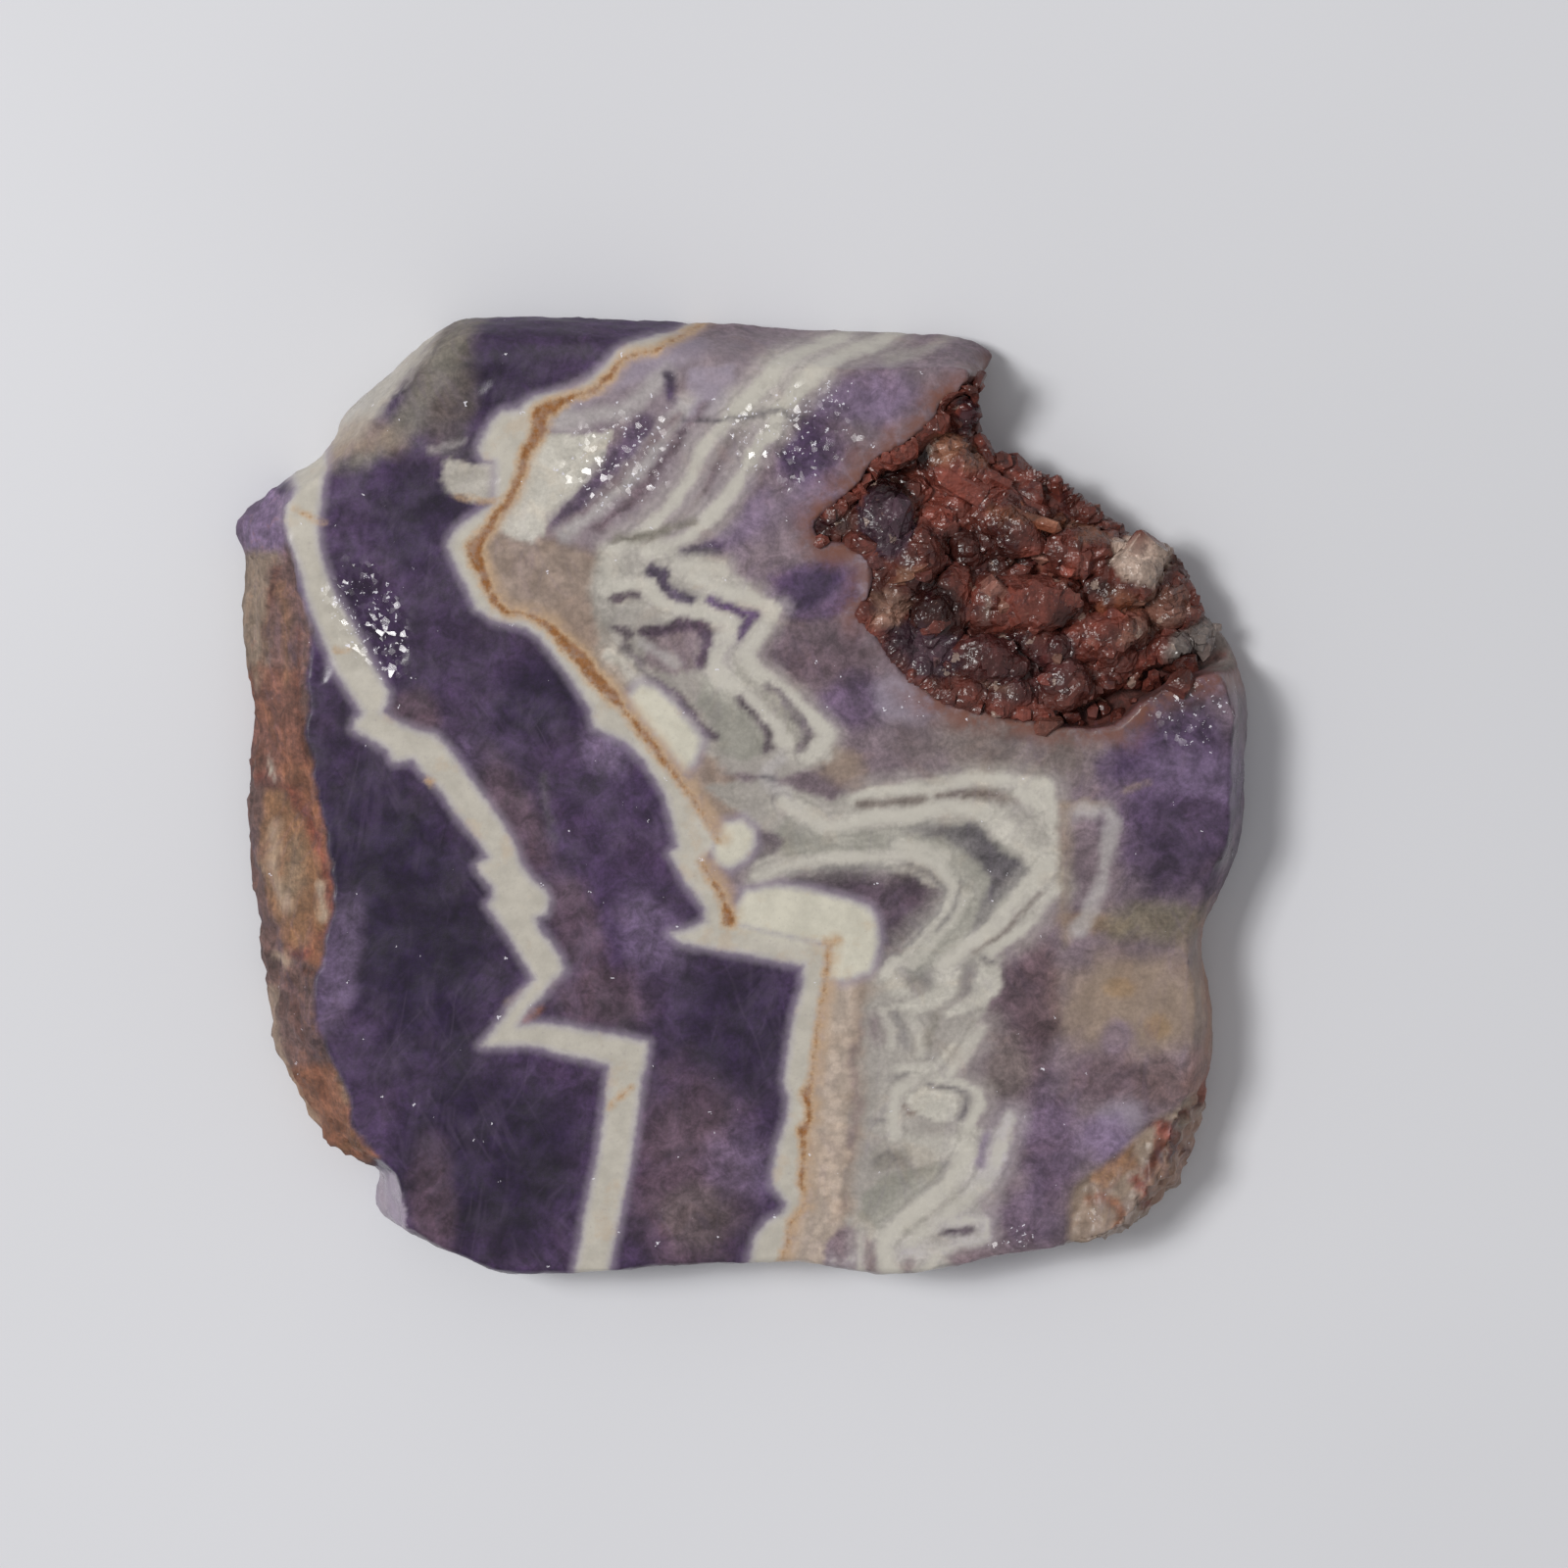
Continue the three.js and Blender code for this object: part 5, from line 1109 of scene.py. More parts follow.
def slab_fields(mesh, at, points, skin, corner, sparkle, hollow):
    """Writes all that the slab's material reads."""
    ragged = 0.22 * rough(points, 4.0, 4, 21.0)
    uneven = np.column_stack([rough(points, 1.5, 3, shift) for shift in (41.0, 51.0)])
    uneven += 0.5 * np.column_stack([rough(points, 0.6, 2, shift) for shift in (61.0, 71.0)])
    tint = ground_tint(at + 0.36 * uneven, ragged, skin, corner)
    lined = crust_tint(at + 0.5 * uneven, ragged)
    tint = tint * (1 - hollow[:, None]) + lined * hollow[:, None]
    write_colour(mesh, "ground", tint)
    vein_two = VEIN_TWO_LEFT + [p[:2] for p in RUST_LOWER[::-1] + RUST_MIDDLE[::-1] + RUST_UPPER[::-1]]
    veins = [VEIN_ONE_LEFT + VEIN_ONE_RIGHT[::-1], vein_two, WHITE_KNOB, CREAM_CORNER, CREAM_SHOULDER]
    cream = np.min([area_gap(at, outline) for outline in veins], axis=0)
    write_number(mesh, "cream", np.clip(cream, -REACH, REACH))
    rust_lines = (RUST_UPPER, RUST_MIDDLE, RUST_LOWER, *RUST_MARKS)
    rust = np.min([stroke_gap(at, line) for line in rust_lines], axis=0)
    write_number(mesh, "rust", np.clip(rust, -REACH, REACH))
    write_number(mesh, "stain", rust_stain(at))
    write_number(mesh, "lace_gap", lace_gap(at))
    bright = [area_gap(at, outline) for outline in (CREAM_CORNER, WHITE_KNOB, CREAM_SHOULDER)]
    write_number(mesh, "bright_cream", smooth(np.min(bright, axis=0), 1.0, -0.5))
    grainy = [area_gap(at, FIELDS[index][3]) for index in GRAINY_FIELDS]
    write_number(mesh, "grainy", smooth(np.min(grainy, axis=0), 0.8, -0.4))
    rim = smooth(np.abs(area_gap(at, HOLLOW_EDGE)) + 5.0 * ragged, 3.6, 0.0) * (1 - hollow)
    write_number(mesh, "iron", rim * (1 - 0.8 * spot_weight(at, 10.0, 20.0, 11.0, 20.0, 0, ragged)))
    write_number(mesh, "skin", np.maximum(skin, 0.3 * corner))
    worn = np.min([stroke_gap(at, edge, DULL_WIDTH) for edge in WORN_EDGES], axis=0)
    write_number(mesh, "worn", np.maximum(smooth(worn, 2.0, -0.5), smooth(skin, 0.0, 0.1)))
    write_number(mesh, "sparkle", sparkle)
    write_number(mesh, "hollow", hollow)


def threads(g, long, short, turn):
    """Sparse thin curved threads of a length and spacing in millimetres, from 0 to 1."""
    wandering = g.noise(g.millimetres((long, short, 4.0), turn), 1.0, 3.0, 0.5, 0.25)
    ridge = g.math("ABSOLUTE", g.math("SUBTRACT", wandering, 0.5))
    return g.fade(ridge, 0.05, 0.0)


def clouds(g, far_cloud, near_cloud):
    """How light each place is under large and small clouds."""
    far_light = g.fade(far_cloud, 0.3, 0.7, 0.66, 1.24)
    near_light = g.fade(near_cloud, 0.28, 0.72, 0.52, 1.44)
    return g.math("MULTIPLY", far_light, near_light)


def amethyst_depth(g, mm):
    """The ground colour clouded, threaded and mottled, as in clear quartz that is lit from within."""
    ground = g.attribute("ground", "Color")
    far_cloud = g.noise(mm, 0.13, 5.0, 0.6, 1.2)
    near_cloud = g.noise(mm, 0.5, 6.0, 0.7, 0.6)
    grain = g.noise(mm, 2.1, 4.0, 0.7)
    pale = g.add("ShaderNodeRGBToBW", {"Color": ground}).outputs["Val"]
    clouded = g.mix(1.0, ground, clouds(g, far_cloud, near_cloud), "MULTIPLY")
    body = g.mix(g.fade(pale, 0.08, 0.3, 1.0, 0.25), ground, clouded)
    grained = g.shaded(body, grain, 0.25, 0.75, 0.74, 1.22)
    body = g.mix(g.fade(pale, 0.08, 0.3, 1.0, 0.45), body, grained)
    warm = g.noise(mm, 0.2, 3.0, 0.5, 1.0)
    body = g.mix(g.fade(warm, 0.5, 0.7, 0.0, 0.3), body, g.mix(1.0, body, (1.12, 1.0, 0.88), "MULTIPLY"))
    for index, (long, short, turn, strength) in enumerate(THREADS):
        patchy = g.fade(g.noise(mm, 0.1 + 0.02 * index, 3.0), 0.45, 0.65, 0.0, strength)
        drawn = g.math("MULTIPLY", threads(g, long, short, turn), patchy)
        body = g.mix(drawn, body, colour("lilac"))
    return body, grain


def lace_colour(g, mm, body, wobble):
    """Faint echoes beside the light bands, and the rounded grains of the pale fields."""
    slow = g.math("SUBTRACT", g.noise(mm, 0.5, 3.0, 0.6), 0.5)
    uneven = g.math("MULTIPLY_ADD", slow, 1.5, g.math("MULTIPLY", wobble, 0.7))
    gap = g.math("ADD", g.attribute("lace_gap"), uneven)
    ripple = g.math("SINE", g.math("MULTIPLY", gap, 7.5))
    near = g.math("MULTIPLY", g.fade(gap, 2.2, 0.5, 0.0, 0.07), g.fade(gap, -0.2, 0.2))
    shade = g.math("MULTIPLY_ADD", ripple, near, 1.0)
    body = g.mix(1.0, body, shade, "MULTIPLY")
    bright = g.fade(g.noise(mm, 0.3, 3.0), 0.35, 0.62, 0.3, 0.75)
    body = g.mix(g.math("MULTIPLY", g.fade(gap, 0.35, -0.35), bright), body, colour("lace_white"))
    cells = g.cells(g.bent(mm, 0.9, 3.0, 1.6), 0.75)
    rounded = g.math("MULTIPLY_ADD", wobble, 0.5, cells["Distance"])
    grains = g.shaded(body, rounded, 0.25, 0.75, 1.05, 0.82)
    return g.mix(g.attribute("grainy"), body, grains)


def vein_colour(g, mm, body, wobble, grain, settings):
    """The cream veins with their haze, the rust line and the stain beside it."""
    cream_gap = g.math("ADD", g.attribute("cream"), g.math("MULTIPLY", wobble, 0.6))
    body = g.mix(g.fade(cream_gap, settings.haze_width, 0.0, 0.0, 0.55), body, colour("pale_lilac"))
    level = g.attribute("bright_cream")
    middle_tone = g.mix(level, colour("vein"), colour("cream"))
    edge_tone = g.mix(g.fade(cream_gap, 0.0, -0.8), colour("milky"), middle_tone)
    cloudy = g.fade(g.noise(mm, 0.45, 5.0, 0.65), 0.3, 0.7, 0.9, 1.08)
    cream_tone = g.mix(1.0, edge_tone, cloudy, "MULTIPLY")
    cream_tone = g.stained(cream_tone, grain, 0.55, 0.8, 0.35, "lilac_grey")
    warm = g.fade(g.noise(mm, 0.3, 4.0, 0.6), 0.55, 0.7, 0.0, 0.25)
    cream_tone = g.mix(warm, cream_tone, colour("ochre"))
    body = g.mix(g.fade(cream_gap, 0.35, -0.3), body, cream_tone)
    patchy = g.fade(g.noise(mm, 0.5, 4.0), 0.3, 0.62, 0.2, 0.7)
    body = g.mix(g.math("MULTIPLY", g.attribute("stain"), patchy), body, colour("ochre"))
    rust_gap = g.math("ADD", g.attribute("rust"), g.math("MULTIPLY", wobble, 1.1))
    rust_tone = g.mix(g.fade(rust_gap, 0.0, -0.6), colour("ochre"), colour("rust"))
    rust_tone = g.shaded(rust_tone, grain, 0.3, 0.7, 0.8, 1.14)
    worn_off = g.fade(g.noise(mm, 0.8, 4.0, 0.7), 0.35, 0.6, 0.65, 1.0)
    return g.mix(g.math("MULTIPLY", g.fade(rust_gap, 0.55, -0.35), worn_off), body, rust_tone)


def stone_colour(g, mm, settings):
    """All the markings of the sawn stone, laid over each other."""
    wobble = g.math("SUBTRACT", g.noise(mm, 1.1, 4.0, 0.6), 0.5)
    body, grain = amethyst_depth(g, mm)
    body = lace_colour(g, mm, body, wobble)
    body = vein_colour(g, mm, body, wobble, grain, settings)
    iron = g.math("MULTIPLY", g.attribute("iron"), g.fade(g.noise(mm, 0.6, 5.0, 0.65), 0.3, 0.62, 0.2, 1.0))
    return g.mix(iron, body, colour("iron_red"))


def skin_colour(g, body, mm):
    """Long streaks and dark pits on the weathered skin."""
    streak = g.noise(g.millimetres((0.9, 6.0, 1.2)), 1.0, 6.0, 0.7, 0.8)
    fine = g.noise(g.millimetres((0.3, 2.2, 0.5)), 1.0, 5.0, 0.7, 0.5)
    pits = g.noise(mm, 1.3, 5.0, 0.7)
    mottle = g.noise(mm, 0.6, 6.0, 0.7, 0.6)
    worn = g.shaded(body, streak, 0.3, 0.7, 0.86, 1.12)
    worn = g.shaded(worn, fine, 0.3, 0.7, 0.88, 1.12)
    worn = g.shaded(worn, mottle, 0.3, 0.7, 0.8, 1.18)
    worn = g.stained(worn, mottle, 0.55, 0.7, 0.3, "skin_orange")
    worn = g.stained(worn, fine, 0.62, 0.75, 0.25, "skin_grey")
    worn = g.stained(worn, pits, 0.62, 0.74, 0.45, "maroon")
    return g.mix(g.attribute("skin"), body, worn)


def painted_glints(g, mm):
    """Painted glints: uneven white flecks of painted highlight where crystal is broken, and a very few
    elsewhere.
    """
    cells = g.cells(g.bent(mm, 2.2, 2.0, 1.1), 2.4)
    parts = g.add("ShaderNodeSeparateColor", {"Color": cells["Color"]})
    size = g.fade(parts.outputs["Green"], 0.0, 1.0, 0.1, 0.38)
    small = g.math("GREATER_THAN", size, cells["Distance"])
    amount = g.fade(g.attribute("sparkle"), 0.1, 1.0, 0.995, 0.64)
    chosen = g.math("GREATER_THAN", parts.outputs["Red"], amount)
    return g.math("MULTIPLY", small, chosen, g.fade(parts.outputs["Blue"], 0.0, 1.0, 0.4, 1.0))


def facet_normal(g, mm):
    """Each small broken facet leans its own way, so that a few of them catch the light."""
    cells = g.cells(mm, 1.7)
    lean = g.mix(0.2, (0.5, 0.5, 1.0), cells["Color"])
    strength = g.fade(g.attribute("sparkle"), 0.15, 0.8)
    facing = g.add("ShaderNodeNormalMap", {"Color": lean, "Strength": strength}, space="OBJECT")
    return facing.outputs["Normal"]


def slab_material(settings):
    """Banded quartz, glossy on the sawn face and dull on the weathered skin."""
    g = Graph("BandedQuartz")
    mm = g.millimetres()
    body = skin_colour(g, stone_colour(g, mm, settings), mm)
    # Painted highlight: white glint flecks laid into the base colour where crystal is broken.
    body = g.mix(g.math("MULTIPLY", painted_glints(g, mm), 0.85), body, PAINTED_GLINT_COLOUR)
    rough_ground = g.math("MAXIMUM", g.attribute("skin"), g.attribute("hollow"))
    dull = g.math("MAXIMUM", rough_ground, g.attribute("worn"))
    gloss_patches = g.fade(g.noise(mm, 0.25, 3.0), 0.35, 0.7, 0.26, 0.44)
    gloss_patches = g.math("SUBTRACT", gloss_patches, g.math("MULTIPLY", g.attribute("sparkle"), 0.12))
    roughness = g.math("ADD", gloss_patches, g.math("MULTIPLY", dull, 0.38), clamp=True)
    rugged = g.math("MULTIPLY", g.noise(mm, 1.2, 6.0, 0.7), g.fade(rough_ground, 0.0, 1.0, 0.06, 1.0))
    height = g.math("ADD", g.math("MULTIPLY", g.noise(mm, 3.2, 4.0, 0.6), 0.05), rugged)
    depth = {"Strength": 0.6, "Distance": 0.35 * MM}
    bump = g.add("ShaderNodeBump", {"Height": height, "Normal": facet_normal(g, mm), **depth})
    normal = bump.outputs["Normal"]
    return g.finish({"Base Color": body, "Roughness": roughness, "Normal": normal, "IOR": IOR})


def adopt(piece, node, material):
    """Gives a finished piece its material in a slot, smooth shading and its body, and hides the frame node
    that it stands for.
    """
    piece.data.materials.clear()
    piece.data.materials.append(material)
    piece.data.polygons.foreach_set("use_smooth", [True] * len(piece.data.polygons))
    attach(piece, "root")
    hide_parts(node)


class AMETHYST_OT_banded_slab(bpy.types.Operator):
    """Make the slab with its skin, broken facets and bands"""

    bl_idname = "amethyst.banded_slab"
    bl_label = "Banded slab"

    def execute(self, context):
        settings = context.scene.amethyst_slab
        solid = welded_copy("banded_slab")
        tree = BVHTree.FromBMesh(solid)
        piece = even_skin(solid, "banded_slab_stone", settings.voxel)
        solid.free()
        refine_and_snap(piece, tree)
        points = vertex_array(piece.data)
        at = face_places(points)
        points = shallower_pits(points, at)
        put_vertices(piece.data, points)
        ragged = 0.3 * rough(points, 3.0, 4, 31.0)
        skin = weathered(area_gap(at, SKIN_EDGE + SKIN_OUTSIDE), points)
        corner = smooth(area_gap(at, BROKEN_CORNER) + 0.6 * ragged, 0.6, -0.6)
        on_face = smooth(points[:, 2], THICKNESS - 1.6, THICKNESS - 0.8)
        sparkle = sparkle_amount(at, ragged) * on_face
        hollow = smooth(area_gap(at, HOLLOW_EDGE), 0.3, -0.1)
        hollow *= smooth(points[:, 2], THICKNESS - 0.1, THICKNESS - 0.5)
        hollow *= smooth(normal_array(piece.data)[:, 2], -0.2, 0.1)
        move = slab_relief(points, normal_array(piece.data), skin, corner, sparkle, settings)
        points = points + normal_array(piece.data) * move[:, None]
        points[:, 2] = np.maximum(points[:, 2], 0.0)
        put_vertices(piece.data, points)
        slab_fields(piece.data, at, points, skin, corner, sparkle, hollow)
        adopt(piece, "banded_slab", slab_material(settings))
        return {"FINISHED"}


def ground_under(trees, x, y):
    """Where a line straight down at a place on the traced face first meets a surface."""
    above = Vector(((x - FACE_MIDDLE[0]) * MM, (y - FACE_MIDDLE[1]) * MM, LOOK_FROM * MM))
    hits = [tree.ray_cast(above, Vector((0, 0, -1)))[0] for tree in trees]
    return max((hit for hit in hits if hit), key=lambda hit: hit.z, default=None)


def mark_new(bm, verts, tint, shade):
    """Writes the colour and shade of one crystal."""
    shade_layer = bm.verts.layers.float["own_shade"]
    tint_layer = bm.verts.layers.float_color["ground"]
    for vert in verts:
        vert[tint_layer] = (*tint, 1.0)
        vert[shade_layer] = shade


def mark_painted(bm, verts, shade):
    """Gives new crystals the colours that are painted at their places on the face."""
    at = face_places(np.array([vert.co for vert in verts]) / MM)
    for vert, tint in zip(verts, crust_tint(at, np.zeros(len(verts)))):
        mark_new(bm, [vert], tint, shade)


def add_crystal(bm, place, axis, turn, radius, tall, lopsided):
    """A six-sided crystal with an off-centre tip, standing at a place along an axis."""
    upright = Vector((0, 0, 1)).rotation_difference(axis).to_matrix().to_4x4()
    stand = Matrix.Translation(place) @ upright @ Matrix.Rotation(turn, 4, "Z")
    made = bmesh.ops.create_cone(
        bm, cap_ends=True, segments=6, radius1=radius, radius2=0.9 * radius, depth=tall, matrix=stand
    )
    faces = {f for v in made["verts"] for f in v.link_faces}
    top = max(faces, key=lambda f: f.calc_center_median().dot(axis))
    poked = bmesh.ops.poke(bm, faces=[top], offset=0.75 * radius)
    tip = poked["verts"][0]
    tip.co += stand.to_3x3() @ Vector(lopsided) * radius
    return made["verts"] + [tip]


def add_lump(bm, place, size, spin, detail, cuts, dice):
    """A broken lump of crystal: an uneven ball with one flat top and flat faces split off its sides."""
    frame_of_lump = spin.to_matrix()
    stand = Matrix.Translation(place) @ frame_of_lump.to_4x4() @ Matrix.Diagonal((*size, 1.0))
    made = bmesh.ops.create_icosphere(bm, subdivisions=detail, radius=0.5, matrix=stand)
    for vert in made["verts"]:
        vert.co = place + (vert.co - place) * dice.uniform(0.92, 1.1)
    geometry = list(made["verts"])
    for vert in made["verts"]:
        geometry.extend([*vert.link_edges, *vert.link_faces])
    geometry = list(dict.fromkeys(geometry))
    for number in range(cuts):
        if number == 0:
            lean = Vector((dice.uniform(-0.25, 0.25), dice.uniform(-0.25, 0.25), 1))
            normal = frame_of_lump @ lean.normalized()
        else:
            normal = Vector((dice.uniform(-1, 1), dice.uniform(-1, 1), dice.uniform(0.0, 0.9))).normalized()
        reach = math.hypot(*(normal.dot(side) * long for side, long in zip(frame_of_lump.col, size))) / 2
        point = place + normal * reach * dice.uniform(0.4, 0.68)
        cut = bmesh.ops.bisect_plane(
            bm, geom=geometry, plane_co=point, plane_no=normal, clear_outer=True, clear_inner=False
        )
        edges = [e for e in cut["geom_cut"] if isinstance(e, bmesh.types.BMEdge)]
        left = [part for part in (*cut["geom"], *cut["geom_cut"]) if part.is_valid]
        geometry = list(dict.fromkeys(left))
        if edges:
            geometry.extend(bmesh.ops.holes_fill(bm, edges=edges, sides=0)["faces"])
    return [part for part in geometry if isinstance(part, bmesh.types.BMVert)]


def crust_tint(places, ragged):
    """The colour of the crust at places on the traced face."""
    tint = np.tile(colour("crust_brown"), (len(places), 1))
    paint(tint, places, ragged, CRUST_FIELDS, CRUST_BANDS)
    return tint


def rim_level(from_rim):
    """The height that the crust keeps at distances from the hollow's rim, in metres."""
    return (THICKNESS - RIM_DROP - RIM_SLOPE * np.maximum(from_rim, 0.0)) * MM


def crust_ground(settings):
    """The granular ground of the crust, from the frame's solid, raised to the rim of the sawn face."""
    solid = welded_copy("crystal_crust")
    tree = BVHTree.FromBMesh(solid)
    piece = even_skin(solid, "crystal_crust_druse", settings.voxel)
    solid.free()
    points = vertex_array(piece.data)
    normals = normal_array(piece.data)
    at = face_places(points)
    from_rim = -area_gap(at, HOLLOW_EDGE)
    upward = smooth(normals[:, 2], 0.0, 0.3)
    raised = np.maximum(points[:, 2], rim_level(from_rim) / MM)
    points[:, 2] += (raised - points[:, 2]) * upward
    grains = facet_heights(points, np.ones(len(points), bool), 2.0)
    move = 1.0 * (grains - 0.5) + 0.7 * upward + 0.2 * rough(points, 1.6, 3, 2.0)
    move += 0.4 * smooth(from_rim, 1.6, 0.0)
    put_vertices(piece.data, points + normals * move[:, None])
    write_colour(piece.data, "ground", crust_tint(at, 0.5 * rough(points, 2.0, 3, 8.0)))
    write_number(piece.data, "own_shade", np.full(len(points), 0.4))
    return piece, tree


def crystal_sites(settings, dice):
    """Places on the traced face for the small crystals, inside the hollow and along its rim."""
    step = settings.spacing / MM
    columns, rows = (int(span / step) for span in SITE_SPAN)
    sites = [
        tuple(start + (k + dice.uniform(-0.45, 0.45)) * step for start, k in zip(SITE_START, (i, j)))
        for i in range(columns)
        for j in range(rows)
    ]
    gap = area_gap(np.array(sites), HOLLOW_EDGE)
    bare = (-gap < RIM_WIDTH) & (np.array([dice.random() for _ in sites]) < RIM_BARE)
    kept = (gap < 0.1) & ~bare
    return [(x, y, -inside) for (x, y), inside, keep in zip(sites, gap, kept) if keep]


def add_small_crystal(bm, place, rooted, settings, dice):
    """One small crystal or flat lump, reaching down to the ground that lies rooted metres below."""
    radius = dice.uniform(settings.smallest, settings.largest) * dice.choice(SMALL_SIZES)
    turn = dice.uniform(0, math.tau)
    if dice.random() < POINTED:
        axis = Vector((dice.uniform(-0.8, 0.8), dice.uniform(-0.8, 0.8), dice.uniform(0.2, 1.0))).normalized()
        tall = radius * dice.uniform(1.4, 2.6)
        return add_crystal(bm, place - axis * radius * 0.5, axis, turn, radius * 0.6, tall, (0.3, 0.1, 0))
    spin = Euler((dice.uniform(-0.5, 0.5), dice.uniform(-0.5, 0.5), turn))
    size = [radius * dice.uniform(1.6, 3.2), radius * dice.uniform(1.6, 3.2), radius * 1.6 + rooted]
    return add_lump(bm, place - Vector((0, 0, rooted / 2)), size, spin, 1, 4, dice)


def standing(trees, x, y, height):
    """The place of a large crystal, which must have ground under it."""
    ground = ground_under(trees, x, y)
    if ground is None:
        raise RuntimeError(f"no ground under the crystal at {x}, {y}")
    return ground + Vector((0, 0, height * MM))


def grow_small_crystals(bm, trees, settings, dice):
    """Small crystals and lumps all over the crust."""
    sites = crystal_sites(settings, dice)
    places = np.array([site[:2] for site in sites])
    tints = crust_tint(places, 0.4 * np.array([dice.uniform(-1, 1) for _ in sites]))
    for (x, y, from_rim), tint in zip(sites, tints):
        ground = ground_under(trees, x, y)
        if ground:
            level = max(ground.z + SMALL_RISE * MM, float(rim_level(from_rim)))
            place = Vector((ground.x, ground.y, level - SMALL_ROOT * MM))
            verts = add_small_crystal(bm, place, level - ground.z, settings, dice)
            other = colour(dice.choice(OTHER_TINTS))
            own = Vector(tint).lerp(Vector(other), dice.choice(OTHER_SHARES))
            mark_new(bm, verts, own, dice.uniform(0.1, 0.9))


def grow_large_crystals(bm, trees, dice):
    """The large crystals and lumps, each where it stands."""
    for x, y, height, radius, tall, heading, lean in LARGE_CRYSTALS:
        away, tilt = math.radians(heading), math.radians(lean)
        axis = Vector((math.cos(away) * math.sin(tilt), math.sin(away) * math.sin(tilt), math.cos(tilt)))
        place = standing(trees, x, y, height)
        verts = add_crystal(bm, place, axis, 0.3, radius * MM, tall * MM * LARGE_SHARE, (0.2, -0.2, 0))
        mark_painted(bm, verts, 0.7)
    for x, y, height, *sides, turn in LARGE_LUMPS:
        spin = Euler((dice.uniform(-0.25, 0.25), dice.uniform(-0.25, 0.25), math.radians(turn)))
        place = standing(trees, x, y, height)
        size = [growth * side * MM for growth, side in zip(LUMP_GROWTH, sides)]
        verts = add_lump(bm, place, size, spin, 2, LUMP_CUTS, dice)
        mark_painted(bm, verts, 0.6)


def broken_faces(g, mm, scale):
    """Small flat faces that each lean their own way: a random number for each, which the crust uses as each
    face's painted light and shade, and its height in mm.
    """
    places = g.bent(mm, 2.0 * scale, 2.0, 0.9 / scale)
    cells = g.cells(places, scale)
    offset = g.vector_math("SUBTRACT", places, cells["Position"])
    lean = g.vector_math("SUBTRACT", cells["Color"], (0.5, 0.5, 0.5))
    height = g.vector_math("DOT_PRODUCT", offset, lean, "Value")
    parts = g.add("ShaderNodeSeparateColor", {"Color": cells["Color"]})
    return parts.outputs["Green"], height


def crust_material():
    """Glassy quartz faces under a patchy red-brown stain, with painted light and shade on the small faces,
    painted shade in the cracks and a few painted glints.
    """
    g = Graph("IronStainedCrystals")
    mm = g.millimetres()
    body = g.shaded(g.attribute("ground", "Color"), g.attribute("own_shade"), 0.0, 1.0, 0.72, 1.12)
    patches = g.noise(mm, 0.7, 6.0, 0.7, 0.5)
    body = g.shaded(body, patches, 0.3, 0.7, 0.76, 1.2)
    broad_facet_light, broad_height = broken_faces(g, mm, 0.42)
    narrow_facet_light, narrow_height = broken_faces(g, mm, 1.3)
    # Painted light and shade: each small face is made lighter or darker by its own random number, as though
    # each caught the light its own way.
    body = g.shaded(body, broad_facet_light, 0.0, 1.0, 0.78, 1.3)
    body = g.shaded(body, narrow_facet_light, 0.0, 1.0, 0.88, 1.16)
    body = g.stained(body, g.noise(mm, 0.5, 5.0, 0.65), 0.54, 0.66, 0.45, "crust_dark")
    # Random patches of painted crack shade.
    body = g.stained(body, g.noise(mm, 0.9, 6.0, 0.75), 0.6, 0.7, 0.4, "crust_crack_shade")
    body = g.stained(body, g.noise(mm, 1.6, 5.0, 0.7), 0.62, 0.7, 0.35, "crust_pink")
    # Painted glints: a few small faces made pale as painted highlights.
    body = g.stained(body, narrow_facet_light, 0.985, 0.99, 0.5, "crust_pale_and_highlight")
    roughness = g.fade(patches, 0.3, 0.7, 0.2, 0.42)
    height = g.math("MULTIPLY_ADD", narrow_height, 0.4, broad_height)
    bump = g.add("ShaderNodeBump", {"Height": height, "Strength": 0.55, "Distance": 1.0 * MM})
    normal = bump.outputs["Normal"]
    return g.finish({"Base Color": body, "Roughness": roughness, "Normal": normal, "IOR": IOR})


class AMETHYST_OT_crystal_crust(bpy.types.Operator):
    """Make the crust of crystals that lines the hollow"""

    bl_idname = "amethyst.crystal_crust"
    bl_label = "Crystal crust"

    def execute(self, context):
        settings = context.scene.amethyst_crust
        piece, crust_tree = crust_ground(settings)
        slab = welded_copy("banded_slab")
        trees = (crust_tree, BVHTree.FromBMesh(slab))
        slab.free()
        bm = bmesh.new()
        bm.from_mesh(piece.data)
        dice = random.Random(CRYSTAL_SEED)
        grow_small_crystals(bm, trees, settings, dice)
        grow_large_crystals(bm, trees, dice)
        bm.to_mesh(piece.data)
        bm.free()
        adopt(piece, "crystal_crust", crust_material())
        piece.data.polygons.foreach_set("use_smooth", [False] * len(piece.data.polygons))
        return {"FINISHED"}


def area_light(name, place, size, power, tone, target):
    """A soft square light that faces a target."""
    data = bpy.data.lights.new(name, "AREA")
    data.size = size
    data.energy = power
    data.color = tone
    lamp = bpy.data.objects.new(name, data)
    lamp.location = place
    lamp.rotation_mode = "QUATERNION"
    lamp.rotation_quaternion = (target - place).to_track_quat("-Z", "Y")
    bpy.context.scene.collection.objects.link(lamp)


def floor_material(tone):
    """Plain pale floor with a very faint cloudiness."""
    g = Graph("PaleFloor")
    mottle = g.fade(g.noise(g.millimetres(), 0.006, 2.0), 0.3, 0.7, 0.97, 1.03)
    body = g.mix(1.0, tone, mottle, "MULTIPLY")
    return g.finish({"Base Color": body, "Roughness": 0.7})


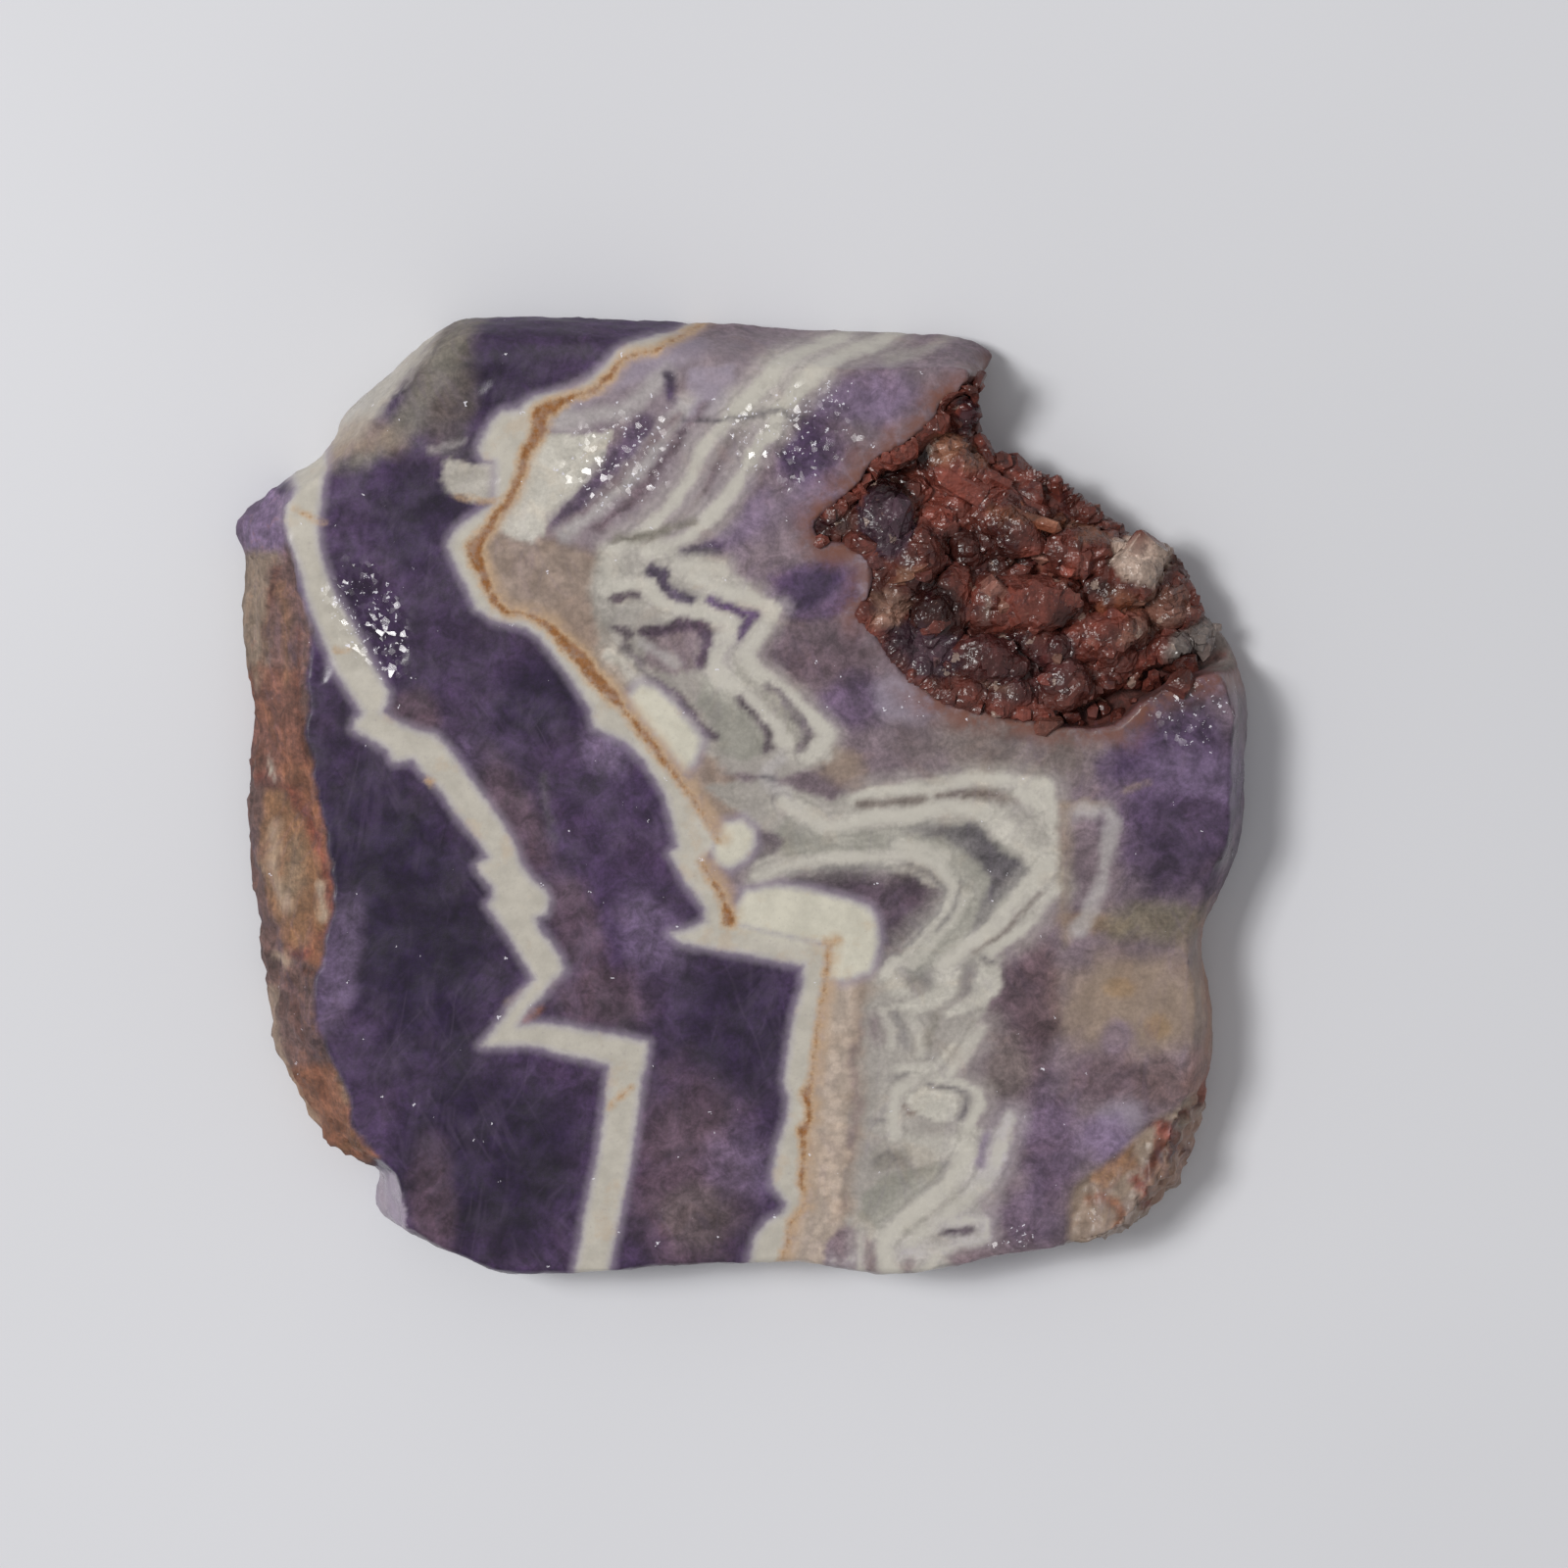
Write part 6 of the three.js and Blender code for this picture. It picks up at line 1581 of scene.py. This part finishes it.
def add_camera(settings, aim):
    """The camera, tilted a little off the face's normal and turned to the aim."""
    data = bpy.data.cameras.new("camera")
    data.lens = settings.lens
    data.sensor_width = SENSOR_WIDTH
    camera = bpy.data.objects.new("camera", data)
    back = Vector((0, math.sin(settings.tilt), math.cos(settings.tilt)))
    camera.location = aim + back * settings.distance
    camera.rotation_euler = (-settings.tilt, 0.0, 0.0)
    bpy.context.scene.collection.objects.link(camera)
    bpy.context.scene.camera = camera


def add_floor(tone):
    """The flat floor that the slab lies on."""
    bm = bmesh.new()
    bmesh.ops.create_grid(bm, x_segments=1, y_segments=1, size=FLOOR_REACH)
    mesh = bpy.data.meshes.new("floor")
    bm.to_mesh(mesh)
    bm.free()
    mesh.materials.append(floor_material(tone))
    floor = bpy.data.objects.new("floor", mesh)
    bpy.context.scene.collection.objects.link(floor)


def add_sky(strength):
    """Even light from all round."""
    world = bpy.data.worlds.new("studio")
    world.use_nodes = True
    sky = world.node_tree.nodes["Background"]
    sky.inputs["Color"].default_value = SKY_COLOUR
    sky.inputs["Strength"].default_value = strength
    bpy.context.scene.world = world


class AMETHYST_OT_stage(bpy.types.Operator):
    """Set up the camera, the soft light and the pale floor"""

    bl_idname = "amethyst.stage"
    bl_label = "Stage"

    def execute(self, context):
        settings = context.scene.amethyst_stage
        aim = Vector((AIM[0] - FACE_MIDDLE[0], AIM[1] - FACE_MIDDLE[1], THICKNESS)) * MM
        key = Vector(KEY_PLACE)
        add_camera(settings, aim)
        add_floor(tuple(settings.floor))
        area_light("key_light", key, KEY_SIZE, settings.key_power, KEY_TONE, aim)
        area_light("glint_light", key * GLINT_FARTHER, GLINT_SIZE, settings.glint_power, (1.0, 1.0, 1.0), aim)
        add_sky(settings.sky)
        context.scene.view_settings.view_transform = "Standard"
        return {"FINISHED"}


class AMETHYST_PT_panel(bpy.types.Panel):
    """Lists the pieces and their settings"""

    bl_idname = "AMETHYST_PT_panel"
    bl_label = "Amethyst slab"
    bl_space_type = "VIEW_3D"
    bl_region_type = "UI"
    bl_category = "Amethyst"

    def draw(self, context):
        for group, operator in PANEL_ROWS:
            box = self.layout.box()
            box.operator(operator)
            settings = getattr(context.scene, group)
            for name in settings.__annotations__:
                box.prop(settings, name)
        for name in context.scene.amethyst_colours.__annotations__:
            self.layout.prop(context.scene.amethyst_colours, name)


PANEL_ROWS = (
    ("amethyst_stage", "amethyst.stage"),
    ("amethyst_slab", "amethyst.banded_slab"),
    ("amethyst_crust", "amethyst.crystal_crust"),
)
GROUPS = {
    "amethyst_colours": StoneColours,
    "amethyst_slab": SlabSettings,
    "amethyst_crust": CrustSettings,
    "amethyst_stage": StageSettings,
}
OPERATORS = (AMETHYST_OT_stage, AMETHYST_OT_banded_slab, AMETHYST_OT_crystal_crust)


def register():
    for group in GROUPS.values():
        bpy.utils.register_class(group)
    for name, group in GROUPS.items():
        setattr(bpy.types.Scene, name, PointerProperty(type=group))
    for cls in (*OPERATORS, AMETHYST_PT_panel):
        bpy.utils.register_class(cls)


def unregister():
    for cls in (AMETHYST_PT_panel, *OPERATORS[::-1]):
        bpy.utils.unregister_class(cls)
    for name, group in GROUPS.items():
        delattr(bpy.types.Scene, name)
        bpy.utils.unregister_class(group)


def main():
    register()
    bpy.ops.amethyst.stage()
    bpy.ops.amethyst.banded_slab()
    bpy.ops.amethyst.crystal_crust()


if __name__ == "__main__":
    main()
